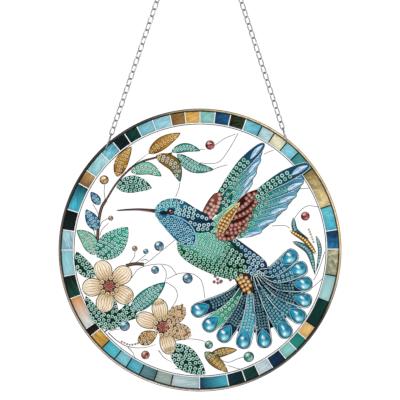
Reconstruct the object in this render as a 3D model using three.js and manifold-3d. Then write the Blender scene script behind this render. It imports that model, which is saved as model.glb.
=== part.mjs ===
// Round suncatcher: a clear panel with a hummingbird and blossoms set in stones,
// a rim of glass tiles inside a brass hoop, and two chains that meet in a hanging ring.
// Millimetres, +Z up. The picture faces -Y. The origin is the inside top of the hanging ring.

import * as THREE from "three";
import { mergeVertices } from "three/addons/utils/BufferGeometryUtils.js";
import Module from "manifold-3d";

const wasm = await Module();
wasm.setup();

// Driving dimensions: panel, rim and hoop
const DISC_RADIUS = 100;
const HOOP_WIDTH = 1.7;
const HOOP_PROUD = 0.3;
const PANEL_THICK = 3;
const TILE_BAND_WIDTH = 8.5;
const TILE_THICK = 0.8;
const TILE_BED = 0.3;
const TILE_JOINT = 0.7;
const ROUND_STEPS = 48;
const PIECE_GAP = 0.3;

// Driving dimensions: hanging fittings
const HOLE_ANGLES = { left: 133.4, right: 50.1 };
const HOLE_EDGE = 0.4;
const HOLE_CLEARANCE = 0.12;
const JUMP_RING_RADIUS = 6.4;
const JUMP_RING_WIRE = 0.9;
const LINK_LENGTH = 6.85;
const LINK_WIDTH = 4.6;
const LINK_WIRE = 0.9;
const LINK_BITE = 0.16;
const LINK_COUNTS = { left: 36, right: 35 };
const HANGING_RING_RADIUS = 7.5;
const HANGING_RING_WIRE = 1.6;
const FITTING_GAP = 0.3;
const RIM_CLEARANCE = 0.05;

// Driving dimensions: stone work
const FIELD_HEIGHT = 1;
const FEATHER_HEIGHT = 0.7;
const LEAF_HEIGHT = 1;
const PETAL_HEIGHT = 0.9;
const STONE_HEIGHT = 1.6;
const BERRY_HEIGHT = 2;
const HEART_RADIUS = 5.4;
const BEAD_HEIGHT = 1.1;

// Sizes that follow from the driving ones
const PANEL_RADIUS = DISC_RADIUS - HOOP_WIDTH;
const FRONT = -PANEL_THICK / 2;
const BACK = PANEL_THICK / 2;
const PICTURE_RADIUS = PANEL_RADIUS - TILE_BAND_WIDTH;
const PICTURE_UNIT = PICTURE_RADIUS / 90;
const LINK_PITCH = LINK_LENGTH - 2 * LINK_WIRE + LINK_BITE;

const COLOURS = {
  clear: "#dfeeee", brass: "#8a7444", tile: "#7fbac4", silver: "#b9bcbf",
  blue: "#2f74a3", cobalt: "#2b62a0", green: "#4fae8c", navy: "#223e66", dark: "#171a22",
  gold: "#c8923c", russet: "#a5564a", teal: "#1f6f74", sky: "#1f90bd", cream: "#ead9b0",
  sage: "#7fb083", jade: "#3fa583", pine: "#17523f", aqua: "#69b9b5", red: "#a3222b", ochre: "#b5813a",
};

const group = new THREE.Group();
const radians = THREE.MathUtils.degToRad;

// Solids and meshes
function solid(geometry) {
  const bare = geometry.clone();
  bare.deleteAttribute("normal");
  bare.deleteAttribute("uv");
  const merged = mergeVertices(bare, 1e-5);
  return new wasm.Manifold(new wasm.Mesh({
    numProp: 3,
    vertProperties: merged.attributes.position.array,
    triVerts: new Uint32Array(merged.index.array),
  }));
}

// Cutting can leave a sliver at a sharp corner; the piece is the body that holds the volume.
function mainBody(shape) {
  return shape.decompose().reduce((best, body) => (body.volume() > best.volume() ? body : best));
}

function addMesh(name, shape, colour, finish = {}) {
  const { vertProperties, triVerts } = mainBody(shape).getMesh();
  const geometry = new THREE.BufferGeometry();
  geometry.setAttribute("position", new THREE.BufferAttribute(new Float32Array(vertProperties), 3));
  geometry.setIndex(new THREE.BufferAttribute(new Uint32Array(triVerts), 1));
  geometry.computeVertexNormals();
  const material = new THREE.MeshStandardMaterial({
    color: COLOURS[colour], roughness: 0.25, metalness: 0, ...finish,
  });
  const mesh = new THREE.Mesh(geometry, material);
  mesh.name = name;
  group.add(mesh);
  return mesh;
}

// A ring or disc about the Y axis: the profile is [radius, y] and closes on itself or on the axis.
function turned(profile, steps = ROUND_STEPS) {
  const points = profile.map(([radius, y]) => new THREE.Vector2(radius, y));
  return solid(new THREE.LatheGeometry(points, steps));
}

function disc(radius, yLow, yHigh, steps = ROUND_STEPS) {
  return turned([[0, yLow], [radius, yLow], [radius, yHigh], [0, yHigh]], steps);
}

function band(inner, outer, yLow, yHigh) {
  return turned([[inner, yLow], [outer, yLow], [outer, yHigh], [inner, yHigh], [inner, yLow]]);
}

// A flat outline in the picture's plane, raised from one height over the panel's face to another.
function plate(points, low, high) {
  const shape = new THREE.Shape(points);
  const geometry = new THREE.ExtrudeGeometry(shape, { depth: 1, bevelEnabled: false });
  const place = geometry.attributes.position;
  for (let i = 0; i < place.count; i += 1) {
    const height = place.getZ(i) > 0.5 ? high : low;
    place.setXYZ(i, place.getX(i), FRONT - height, place.getY(i));
  }
  return solid(geometry);
}

function polar(radius, degrees, x = 0, z = 0) {
  const angle = radians(degrees);
  return new THREE.Vector2(x + radius * Math.cos(angle), z + radius * Math.sin(angle));
}

// Cross-sections of a raised stroke: [across, up], each from 0 or -1 to 1.
const FLAT = [[-1, 0], [1, 0], [0.86, 1], [-0.86, 1]];
const CROWNED = [[-1, 0], [1, 0], [0.6, 0.8], [0, 1], [-0.6, 0.8]];
const VEINED = [[-1, 0], [1, 0], [0.5, 1], [0, 0.55], [-0.5, 1]];
const CUT_STONE = [[-1, 0], [1, 0], [0.5, 1], [-0.5, 1]];
const RIDGED = [[-1, 0], [1, 0], [0, 1]];
const BLOCK = [[-1, 0], [1, 0], [1, 1], [-1, 1]];

// Width along a stroke, as a share of its widest, from its root (0) to its tip (1).
const WIDTHS = {
  leaf: (t) => Math.sin(Math.PI * t ** 0.85) ** 0.8,
  feather: (t) => (0.35 + 0.65 * Math.min(t / 0.6, 1)) * Math.sqrt(Math.max(1 - t ** 5, 0)),
  drop: (t) => Math.sin(Math.PI * t ** 1.35) ** 0.7,
  petal: (t) => Math.sin(Math.PI * (0.08 + 0.92 * t) ** 1.4) ** 0.6,
  marquise: (t) => Math.sin(Math.PI * t),
  oval: (t) => Math.sqrt(Math.max(4 * t * (1 - t), 0)),
  beak: (t) => 1 - 0.75 * t,
  head: (t) => Math.sin(Math.PI * Math.min(t * 1.25, 0.5 + 0.5 * t)) ** 0.75,
};
const NARROWEST = 0.06;

// A stroke is a bar of one cross-section, bent along a spine and narrowed at its ends.
function stroke({ from, over, to, half, width = "leaf", section = VEINED, height, base = 0, steps = 6 }) {
  const ends = [from, over, to].map(([x, z]) => new THREE.Vector2(x, z).multiplyScalar(PICTURE_UNIT));
  const spine = new THREE.SplineCurve(ends);
  const shape = new THREE.Shape(section.map(([x, y]) => new THREE.Vector2(x, y)));
  const bar = new THREE.ExtrudeGeometry(shape, { depth: 1, steps, bevelEnabled: false });
  const place = bar.attributes.position;
  for (let i = 0; i < place.count; i += 1) {
    const t = 0.5 - 0.5 * Math.cos(Math.PI * place.getZ(i));
    const share = Math.max(WIDTHS[width](t), NARROWEST);
    const across = place.getX(i) * share * half * PICTURE_UNIT;
    const point = spine.getPoint(t);
    const along = spine.getTangent(t);
    const up = base + place.getY(i) * height * (section === FLAT ? 1 : Math.sqrt(share));
    place.setXYZ(i, point.x - along.y * across, FRONT - up, point.y + along.x * across);
  }
  return solid(bar);
}

function middle([x0, z0], [x1, z1], sag) {
  const length = Math.hypot(x1 - x0, z1 - z0);
  return [(x0 + x1) / 2 - ((z1 - z0) / length) * sag, (z0 + z1) / 2 + ((x1 - x0) / length) * sag];
}

function fuse(shapes) {
  return shapes.reduce((sum, shape) => sum.add(shape));
}

// The room that a stroke needs: the same stroke, wider by the gap and taller than any stone.
function room(spec) {
  const grown = { ...spec, half: spec.half + PIECE_GAP / PICTURE_UNIT, section: BLOCK };
  return stroke({ ...grown, height: 8 * FIELD_HEIGHT, base: -PIECE_GAP });
}

// A round stone: a low cone with a flat top, set on the panel
function roundStone(x, z, radius, height, sides) {
  const top = FRONT - height;
  return turned([[0, top], [radius * 0.55, top], [radius, FRONT], [0, FRONT]], sides).translate([x, 0, z]);
}

const taken = [];

function touches(a, b) {
  const boxA = a.boundingBox();
  const boxB = b.boundingBox();
  return [0, 2].every((axis) => boxA.min[axis] < boxB.max[axis] && boxB.min[axis] < boxA.max[axis]);
}

// Each piece of the picture gives way to the pieces set before it.
function setPiece(name, colour, specs, extra = []) {
  let shape = fuse(specs.map((spec) => stroke(spec)));
  for (const other of taken) {
    if (touches(shape, other)) {
      shape = shape.subtract(other);
    }
  }
  shape = fuse([shape, ...extra]);
  taken.push(...specs.map((spec) => room(spec)));
  addMesh(name, shape, colour);
  return shape;
}

// The panel, its holes and the hoop
function holePlace(side) {
  return polar(PANEL_RADIUS - HOLE_EDGE - holeRadius(), HOLE_ANGLES[side]);
}

// A round ring lifts a little as it leaves the hole, so the hole is as long as that lift needs.
function ringLift() {
  const reach = PANEL_THICK / 2 + TILE_THICK;
  return JUMP_RING_RADIUS - Math.sqrt(JUMP_RING_RADIUS ** 2 - reach ** 2);
}

function holeRadius() {
  return (JUMP_RING_WIRE + ringLift()) / 2 + HOLE_CLEARANCE;
}

function drill(side) {
  const place = holePlace(side);
  const depth = PANEL_THICK + 4 * TILE_THICK;
  return disc(holeRadius(), -depth, depth, 12).translate([place.x, 0, place.y]);
}

function buildPanel() {
  const blank = disc(PANEL_RADIUS, FRONT, BACK);
  const panel = blank.subtract(drill("left")).subtract(drill("right"));
  addMesh("panel", panel, "clear", { transparent: true, opacity: 0.35, roughness: 0.05 });
}

function buildHoop() {
  const front = FRONT - TILE_THICK - HOOP_PROUD;
  const back = BACK + HOOP_PROUD;
  addMesh("hoop", band(PANEL_RADIUS, DISC_RADIUS, front, back), "brass", { metalness: 1, roughness: 0.3 });
}

// The tiles' widths follow a rim laid by hand: short ones with a few long ones between.
const FIRST_JOINT_ANGLE = -11;
const LONGEST_CHORD = 12;
const TILE_SPANS = [
  11.5, 8, 10.5, 17, 8.5, 6.5, 6.5, 6, 7, 6.5, 6.5, 6.5, 6.5, 6.5, 7.5, 7, 6, 6, 6.5, 9.5, 6.5, 11.5,
  8.5, 8.5, 11, 9.5, 14, 3.5, 7, 7, 6, 6, 6.5, 7, 12, 12, 7, 6.5, 6, 6.5, 6, 6, 6, 11.5, 11,
];

// One tile and its share of the bed, from joint to joint; its corners stay inside the hoop's facets.
function tile(start, end) {
  const outer = PANEL_RADIUS * Math.cos(Math.PI / ROUND_STEPS) - RIM_CLEARANCE;
  const steps = Math.ceil((end - start) / LONGEST_CHORD);
  const corners = [];
  for (const [radius, first, last] of [[outer, start, end], [PICTURE_RADIUS, end, start]]) {
    for (let k = 0; k <= steps; k += 1) {
      corners.push(polar(radius, first + ((last - first) * k) / steps));
    }
  }
  return plate(corners, 0, TILE_THICK);
}

// A joint is a straight groove across the band, down to the bed.
function joint(angle) {
  const corners = [[-1, -1], [1, -1], [1, 1], [-1, 1]].map(([along, across]) => {
    const radius = along < 0 ? PICTURE_RADIUS - 1 : PANEL_RADIUS + 1;
    return polar(radius, angle).add(polar((across * TILE_JOINT) / 2, angle + 90));
  });
  return plate(corners, TILE_BED, 2 * TILE_THICK);
}

function buildTileBand(wingRoom) {
  const whole = TILE_SPANS.reduce((sum, span) => sum + span, 0);
  const tiles = [];
  const joints = [];
  let start = FIRST_JOINT_ANGLE;
  for (const span of TILE_SPANS) {
    const turn = (span / whole) * 360;
    tiles.push(tile(start, start + turn));
    joints.push(joint(start));
    start += turn;
  }
  let rim = fuse(tiles).subtract(fuse(joints)).subtract(drill("left")).subtract(drill("right"));
  for (const cut of wingRoom) {
    rim = rim.subtract(cut);
  }
  addMesh("tile_band", rim, "tile");
  const clear = PICTURE_RADIUS * Math.cos(radians(LONGEST_CHORD / 2)) - PIECE_GAP;
  taken.push(band(clear, DISC_RADIUS, FRONT - 8 * FIELD_HEIGHT, BACK));
}

// The bird
function buildBird() {
  const field = { section: CROWNED, height: FIELD_HEIGHT, steps: 6 };
  setPiece("bird_beak", "dark", [
    { from: [-32.3, 27.9], over: [-45, 28.4], to: [-58.7, 28.2], half: 1.5, width: "beak",
      section: CROWNED, height: FIELD_HEIGHT, steps: 4 },
  ]);
  setPiece("bird_eye", "dark", [
    { from: [-22.8, 27.2], over: [-20.6, 27.2], to: [-18.4, 27.2], half: 2.2, width: "oval",
      section: CUT_STONE, height: STONE_HEIGHT, steps: 4 },
  ]);
  setPiece("bird_gorget", "cobalt", [
    { ...field, from: [-31.5, 25.3], over: [-15.5, 15.5], to: [-4.5, 3.8], half: 7.6, width: "drop" },
  ]);
  setPiece("bird_head", "blue", [
    { ...field, from: [-32, 27.5], over: [-15, 28.5], to: [9, 20.6], half: 7.6, width: "head" },
  ]);
  setPiece("coverts_gold", "gold", [
    { ...field, from: [13, 10.5], over: [18, 21], to: [28, 33.5], half: 3.6, steps: 5 },
  ]);
  setPiece("coverts_russet", "russet", [
    { ...field, from: [24, 27], over: [33, 35.5], to: [41.5, 43], half: 3.6, steps: 4 },
    { ...field, from: [22, 22], over: [31, 27.5], to: [39, 32.5], half: 3.6, steps: 4 },
    { ...field, from: [19, 17], over: [27, 20.5], to: [35, 23], half: 3.8, steps: 4 },
    { ...field, from: [12, 10.5], over: [20, 11.5], to: [29, 14.5], half: 4.2, steps: 4 },
  ]);
  setPiece("bird_body", "green", [
    { ...field, from: [-15, 6.5], over: [7, -1.5], to: [32, -15.5], half: 13.5, width: "oval" },
    { ...field, from: [2, 9], over: [13, 20.5], to: [27.5, 34.5], half: 3.6, steps: 4 },
  ]);
  setPiece("bird_rump", "navy", [
    { ...field, from: [17, 9.5], over: [30, -2], to: [47, -12.5], half: 5.6, width: "oval", steps: 5 },
  ]);
  setPiece("bird_thigh", "gold", [
    { ...field, from: [25.5, -14.5], over: [31, -22], to: [35.5, -31.5], half: 5, width: "oval", steps: 5 },
  ]);
}

// Wings: each feather is a stroke, and a long cut stone lies along its outer part.
function wingFeathers(shoulder, heel, tips, half) {
  return tips.map((tip, k) => {
    const share = k / (tips.length - 1);
    const root = shoulder.map((value, axis) => value + (heel[axis] - value) * share);
    return { from: root, over: middle(root, tip, 1.6), to: tip, half: half * (1 - 0.25 * share),
      width: "feather", section: FLAT, height: FEATHER_HEIGHT, steps: 4 };
  });
}

function featherStone({ from, to, half }, length) {
  const reach = Math.hypot(to[0] - from[0], to[1] - from[1]);
  const [near, far] = [reach - length - 1.4, reach - 1.4].map((run) => run / reach);
  const place = (share) => from.map((value, axis) => value + (to[axis] - value) * share);
  return stroke({ from: place(near), over: middle(place(near), place(far), 0.5), to: place(far),
    half: half * 0.5, width: "marquise", section: RIDGED, height: STONE_HEIGHT - FEATHER_HEIGHT / 2,
    base: FEATHER_HEIGHT / 2, steps: 4 });
}

const BACK_WING = wingFeathers([13, 39], [20, 28], [[45.5, 75.5], [43, 65], [40, 56], [37, 48.5]], 4.4);
const FRONT_WING = wingFeathers([33, 34.5], [27, 9],
  [[77.5, 60.5], [73.5, 49], [68.5, 39.5], [62, 31], [54, 22.5], [44, 14]], 5);
const WING_STONE = 13.5;

function buildWings() {
  const inside = disc(PANEL_RADIUS - PIECE_GAP, FRONT - 8 * FIELD_HEIGHT, BACK);
  setPiece("back_wing_root", "russet", [
    { from: [2.5, 20.5], over: [8.5, 30], to: [13.5, 40], half: 4.6, section: CROWNED, height: FIELD_HEIGHT,
      steps: 5 },
  ]);
  const wings = [["front_wing", FRONT_WING, "teal"], ["back_wing", BACK_WING, "teal"]];
  for (const [name, feathers, colour] of wings) {
    const clipped = feathers.map((feather) => featherStone(feather, WING_STONE).intersect(inside));
    const stones = clipped.filter((stone) => taken.every((other) => stone.intersect(other).isEmpty()));
    setPiece(name, colour, feathers, stones);
  }
}

// The tail is a fan of feathers about one centre, each with a glossy drop at its end.
const TAIL_CENTRE = [40, -25];
const TAIL_ROOT = [42, -14];
const TAIL_ANGLES = [40, 21, 2, -17, -36, -58, -82, -103, -123, -140, -157];
const TAIL_REACH = { first: 37, last: 50 };
const DROP_LENGTH = 12.5;
const DROP_HALF = 4.6;
const DROP_BORDER = 0.9;

function tailFeathers() {
  return TAIL_ANGLES.map((angle, k) => {
    const share = k / (TAIL_ANGLES.length - 1);
    const reach = TAIL_REACH.first + (TAIL_REACH.last - TAIL_REACH.first) * share;
    const tip = polar(reach, angle, ...TAIL_CENTRE);
    const waist = polar(reach * 0.42, angle, ...TAIL_CENTRE);
    const root = [TAIL_ROOT[0] - 9 * share, TAIL_ROOT[1] - 5 * share];
    return { from: root, over: [waist.x, waist.y], to: [tip.x, tip.y], half: DROP_HALF + DROP_BORDER,
      width: "drop", section: FLAT, height: FEATHER_HEIGHT, steps: 4, angle };
  });
}

function buildTail() {
  const feathers = tailFeathers();
  const inward = (feather, run) => {
    const point = polar(-run, feather.angle, ...feather.to);
    return [point.x, point.y];
  };
  feathers.forEach((feather, k) => {
    const from = inward(feather, DROP_LENGTH + DROP_BORDER);
    const to = inward(feather, DROP_BORDER);
    const drop = stroke({ from, over: middle(from, to, 0), to, half: DROP_HALF, width: "drop",
      section: CUT_STONE, height: STONE_HEIGHT, base: FEATHER_HEIGHT, steps: 4 });
    addMesh(`tail_drop_${k + 1}`, drop, "sky", { roughness: 0.08 });
  });
  setPiece("tail_fan", "navy", feathers);
}

// Blossoms: petals about a beaded heart
function buildBlossom(name, centre, first, turn, count, reach, half) {
  const petals = [];
  for (let k = 0; k < count; k += 1) {
    const root = polar(2.5, first + turn * k, ...centre);
    const tip = polar(reach, first + turn * k, ...centre);
    petals.push({ from: [root.x, root.y], over: middle([root.x, root.y], [tip.x, tip.y], 0),
      to: [tip.x, tip.y], half, width: "petal", section: VEINED, height: PETAL_HEIGHT, steps: 3 });
  }
  const heart = new THREE.Vector2(...centre).multiplyScalar(PICTURE_UNIT);
  const height = PETAL_HEIGHT + BEAD_HEIGHT;
  setPiece(name, "cream", petals, [roundStone(heart.x, heart.y, HEART_RADIUS, height, 8)]);
}

// Leaves: name, colour, then one or more strokes as root, tip, half width and sag to the left
const LEAVES = [
  ["gold_leaf_left", "gold", [[[-58.7, 52.3], [-48.8, 73], 4.6, 1.5]]],
  ["gold_leaf_top", "gold", [[[-36, 68.6], [-14.1, 82.7], 4.3, 1]]],
  ["amber_leaf", "ochre", [[[-31, 66.5], [-14.1, 48.5], 4.8, 5]]],
  ["sage_leaf", "sage", [[[-48.5, 55.5], [-27.5, 52.5], 4.4, 4]]],
  ["green_leaf", "pine", [[[-58.5, 44.5], [-34.5, 44], 6, 2.5]]],
  ["aqua_leaf_upper", "aqua", [[[-19.8, 69.8], [0, 70.5], 3.1, 2.5]]],
  ["aqua_leaf_lower", "aqua", [[[-16, 67.5], [9.5, 57], 4.2, -3.5]]],
  ["blue_bud", "blue", [[[-72.7, 14.5], [-80.6, 28.5], 4.4, 0]]],
  ["blue_bud_upper", "blue", [[[-71.2, 32.3], [-77.2, 41], 3, 0]]],
  ["pale_leaf", "sage", [[[-74.8, -3.2], [-87, 13.8], 5.4, -2.5]]],
  ["beaded_leaf_left", "pine", [[[-75.5, -18.8], [-87.4, -1.5], 5.2, 2]]],
  ["jade_leaf", "jade", [[[-72.6, -4.5], [-51.3, 15.8], 9, -1]]],
  ["teal_leaf", "aqua", [[[-49, -43.2], [-24.8, -23.2], 5.8, 0]]],
  ["fern", "pine", [[[-65.8, -56], [-79.5, -34.5], 3.4, 1], [[-65.8, -56], [-50.5, -37], 3.4, -2.5]]],
  ["pine_leaf", "pine", [[[-19.5, -67.8], [3.5, -87.6], 8.2, -1]]],
  ["bottom_sprig", "gold", [[[3.5, -72.5], [19.5, -86.3], 4, 0], [[7, -75.4], [26, -70.8], 3.2, 1]]],
  ["gold_bud", "gold", [[[-43.5, -65.3], [-30.5, -58.5], 5, 0]]],
  ["right_sprig", "ochre", [[[64.5, 22], [71.5, 9.5], 2.4, 1], [[65, 14.5], [83, -3.5], 3.8, 1.5],
    [[66, 7.5], [83.5, -15.2], 3.4, -1]]],
];

function buildLeaves() {
  for (const [name, colour, strokes] of LEAVES) {
    setPiece(name, colour, strokes.map(([from, to, half, sag]) => (
      { from, over: middle(from, to, sag), to, half, height: LEAF_HEIGHT, steps: 4 })));
  }
}

// Berries: name, colour, place and radius of each round cut stone
const BERRIES = [
  ["red_berry_top", "red", 7.1, 74.4, 3.4],
  ["red_berry_right", "red", 74.6, 24, 3.2],
  ["ochre_berry", "ochre", -67.9, 49.7, 3.3],
  ["blue_berry_throat", "blue", -29, 2.8, 3.5],
  ["blue_berry_mid", "blue", -31.8, -14.1, 2.9],
  ["blue_berry_low", "blue", -8.8, -20.2, 3.7],
  ["teal_berry_left", "teal", -53.4, -53.7, 3.8],
  ["teal_berry_right", "teal", 34.6, -75.7, 3.8],
];

function buildBerries() {
  for (const [name, colour, x, z, radius] of BERRIES) {
    const [across, up] = [x * PICTURE_UNIT, z * PICTURE_UNIT];
    const size = radius * PICTURE_UNIT;
    addMesh(name, roundStone(across, up, size, BERRY_HEIGHT, 8), colour);
    taken.push(disc(size + PIECE_GAP, FRONT - 2 * BERRY_HEIGHT, BACK, 8).translate([across, 0, up]));
  }
}

// Rings and chains. Each side runs straight from its hole to the centre of the hanging ring.
function ringToHole(side) {
  const seat = holeRadius() - HOLE_CLEARANCE - JUMP_RING_WIRE / 2 - ringLift();
  const run = LINK_COUNTS[side] * LINK_PITCH;
  const ends = (JUMP_RING_WIRE + HANGING_RING_WIRE) / 2 + 2 * FITTING_GAP;
  return { seat, reach: seat + 2 * JUMP_RING_RADIUS + run - LINK_BITE - ends + HANGING_RING_RADIUS };
}

// The hanging ring's centre lies where the two sides' reaches meet above the panel.
function hangingCentre() {
  const left = holePlace("left");
  const right = holePlace("right");
  const reachLeft = ringToHole("left").reach;
  const reachRight = ringToHole("right").reach;
  const base = right.clone().sub(left);
  const span = base.length();
  const along = (span ** 2 + reachLeft ** 2 - reachRight ** 2) / (2 * span);
  const rise = Math.sqrt(reachLeft ** 2 - along ** 2);
  base.normalize();
  return left.addScaledVector(base, along).add(new THREE.Vector2(-base.y, base.x).multiplyScalar(rise));
}

// A link or ring stands on its own Z axis; turn it about Z, then lean it along the pull.
function lean(geometry, turn, place, direction) {
  geometry.rotateZ(turn);
  geometry.rotateY(Math.atan2(direction.x, direction.y));
  geometry.translate(place.x, 0, place.y);
  return solid(geometry);
}

function wireRing(radius, wire, around, sides) {
  return new THREE.TorusGeometry(radius, wire / 2, sides, around);
}

// A link is a six-sided ring of wire, an edge of the wire inwards, with its ends pulled apart along Z.
function link() {
  const bow = (LINK_WIDTH - LINK_WIRE) / 2;
  const ring = wireRing(bow, -LINK_WIRE, 6, 3);
  ring.rotateX(Math.PI / 2);
  const place = ring.attributes.position;
  const pull = (LINK_LENGTH - LINK_WIRE) / 2 - bow * Math.sin(Math.PI / 3);
  for (let i = 0; i < place.count; i += 1) {
    const end = Math.abs(place.getX(i)) < bow * 0.75 ? Math.sign(place.getZ(i)) : 0;
    place.setZ(i, place.getZ(i) + pull * end);
  }
  return ring;
}

function buildSide(side, centre) {
  const hole = holePlace(side);
  const { seat } = ringToHole(side);
  const direction = centre.clone().sub(hole).normalize();
  const at = (run) => hole.clone().addScaledVector(direction, run);
  const ring = wireRing(JUMP_RING_RADIUS, JUMP_RING_WIRE, 16, 4);
  ring.rotateY(Math.PI / 2);
  const eye = lean(ring, 0, at(seat + JUMP_RING_RADIUS), direction);
  addMesh(`jump_ring_${side}`, eye, "silver", { metalness: 1 });

  const firstLink = seat + 2 * JUMP_RING_RADIUS - JUMP_RING_WIRE / 2 - LINK_WIRE - FITTING_GAP + LINK_LENGTH / 2;
  const links = [];
  for (let k = 0; k < LINK_COUNTS[side]; k += 1) {
    const turn = (k % 2 ? -1 : 1) * Math.PI / 4;
    links.push(lean(link(), turn, at(firstLink + k * LINK_PITCH), direction));
  }
  addMesh(`chain_${side}`, fuse(links), "silver", { metalness: 1 });
}

function buildHangingRing(centre) {
  const ring = wireRing(HANGING_RING_RADIUS, HANGING_RING_WIRE, 18, 5);
  ring.rotateX(Math.PI / 2);
  ring.translate(centre.x, 0, centre.y);
  addMesh("hanging_ring", solid(ring), "silver", { metalness: 1 });
}

buildPanel();
buildHoop();
buildBird();
buildWings();
buildTileBand(FRONT_WING.slice(0, 2).map((feather) => room(feather)));
buildTail();
buildBlossom("blossom_left", [-64.3, -25.5], 112, -72, 5, 19, 6.4);
buildBlossom("blossom_right", [-26.2, -54.4], 158, -58, 5, 20, 5.6);
buildBerries();
buildLeaves();
const centre = hangingCentre();
buildSide("left", centre);
buildSide("right", centre);
buildHangingRing(centre);

group.position.set(-centre.x, 0, -(centre.y + HANGING_RING_RADIUS - HANGING_RING_WIRE / 2));

export default group;
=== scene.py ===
"""Round suncatcher: a clear panel with a hummingbird set in stones, glass tiles, hoop and chains.

The picture is drawn in millimetres on the panel's front face: across and up from the disc's
centre, and height off the face. The finished pieces are in metres, in the frame's own place.
"""

import math
import random

import bpy
import numpy as np
from mathutils import Matrix, Vector


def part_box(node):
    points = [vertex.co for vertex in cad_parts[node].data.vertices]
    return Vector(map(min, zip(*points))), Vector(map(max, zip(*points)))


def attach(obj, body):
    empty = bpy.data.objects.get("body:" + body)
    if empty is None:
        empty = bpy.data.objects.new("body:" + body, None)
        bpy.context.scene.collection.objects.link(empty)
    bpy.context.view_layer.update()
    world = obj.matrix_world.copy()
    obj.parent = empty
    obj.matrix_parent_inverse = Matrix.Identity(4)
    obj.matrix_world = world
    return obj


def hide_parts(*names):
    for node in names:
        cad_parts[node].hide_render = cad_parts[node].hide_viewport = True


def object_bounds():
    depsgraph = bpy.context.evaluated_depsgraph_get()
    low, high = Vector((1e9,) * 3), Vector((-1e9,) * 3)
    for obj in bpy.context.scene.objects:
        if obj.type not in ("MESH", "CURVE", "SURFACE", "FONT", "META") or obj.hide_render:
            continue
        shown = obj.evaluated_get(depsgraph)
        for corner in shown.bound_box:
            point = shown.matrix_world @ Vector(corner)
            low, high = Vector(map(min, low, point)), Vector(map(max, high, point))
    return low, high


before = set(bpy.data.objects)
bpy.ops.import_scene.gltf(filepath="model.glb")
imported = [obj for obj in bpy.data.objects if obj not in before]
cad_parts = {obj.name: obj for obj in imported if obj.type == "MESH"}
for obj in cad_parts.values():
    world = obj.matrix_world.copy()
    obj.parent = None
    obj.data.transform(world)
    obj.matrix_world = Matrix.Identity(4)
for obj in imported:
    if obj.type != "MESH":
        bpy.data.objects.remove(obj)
cad_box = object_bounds()

# ---------------------------------------------------------------- sizes that follow from the frame
MM = 0.001
hoop_low, hoop_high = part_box("hoop")
panel_low, panel_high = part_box("panel")
tile_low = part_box("tile_band")[0]
CENTRE = (hoop_low + hoop_high) / 2
FACE_Y = panel_low.y
BACK_Y = panel_high.y
DISC_RADIUS = (hoop_high.z - hoop_low.z) / 2 / MM
PANEL_RADIUS = (panel_high.z - panel_low.z) / 2 / MM
PANEL_THICK = (BACK_Y - FACE_Y) / MM
HOOP_FRONT = (FACE_Y - hoop_low.y) / MM
HOOP_BACK = (hoop_high.y - BACK_Y) / MM
TILE_HEIGHT = (FACE_Y - tile_low.y) / MM
TILE_BAND_WIDTH = 8.5
PICTURE_RADIUS = PANEL_RADIUS - TILE_BAND_WIDTH
PICTURE_UNIT = PICTURE_RADIUS / 90

# ---------------------------------------------------------------- sizes of the stone work, in mm
SEED = 7
PRINT_STEP = 0.02
SUNK = 0.05
LINE_RISE = 0.012
LINE_WIDTH = 0.58
STONE_RADIUS = 1.5
STONE_PITCH = 3.45
SMALL_RADIUS = 1.0
SMALL_PITCH = 2.35
DROP_LENGTH = 12.5
DROP_HALF = 4.6
DROP_BORDER = 0.9

chance = random.Random(SEED)


def place(across, up, height):
    """A point of the picture, in metres in the frame."""
    return (CENTRE.x + across * MM, FACE_Y - height * MM, CENTRE.z + up * MM)


# ---------------------------------------------------------------- colours
def paint(code):
    """A colour from its hex code, as linear values."""
    parts = [int(code[i:i + 2], 16) / 255 for i in (0, 2, 4)]
    return tuple(((c + 0.055) / 1.055) ** 2.4 if c > 0.04045 else c / 12.92 for c in parts)


def mix(one, other, share):
    """A colour between two, at a share of the way to the other."""
    return tuple(a + (b - a) * share for a, b in zip(one, other))


def clamp(value):
    return min(max(value, 0), 1)


def shade(stops, t):
    """The colour at t between stops of (t, colour), in order."""
    for (t0, c0), (t1, c1) in zip(stops, stops[1:]):
        if t <= t1:
            return mix(c0, c1, (t - t0) / (t1 - t0) if t > t0 else 0)
    return stops[-1][1]


def even(*codes):
    """Stops spaced evenly from root to tip."""
    last = max(len(codes) - 1, 1)
    stops = [(k / last, paint(code)) for k, code in enumerate(codes)]
    return stops if len(stops) > 1 else stops + [(1, stops[0][1])]


def along(stops):
    """A plate's colour that changes only from root to tip."""
    return lambda t, s: shade(stops, t)


WHITE = paint("f4f7f8")
COOL_WHITE = paint("d8fcf8")
INK = paint("10191e")
BLACK = paint("020406")

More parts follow.
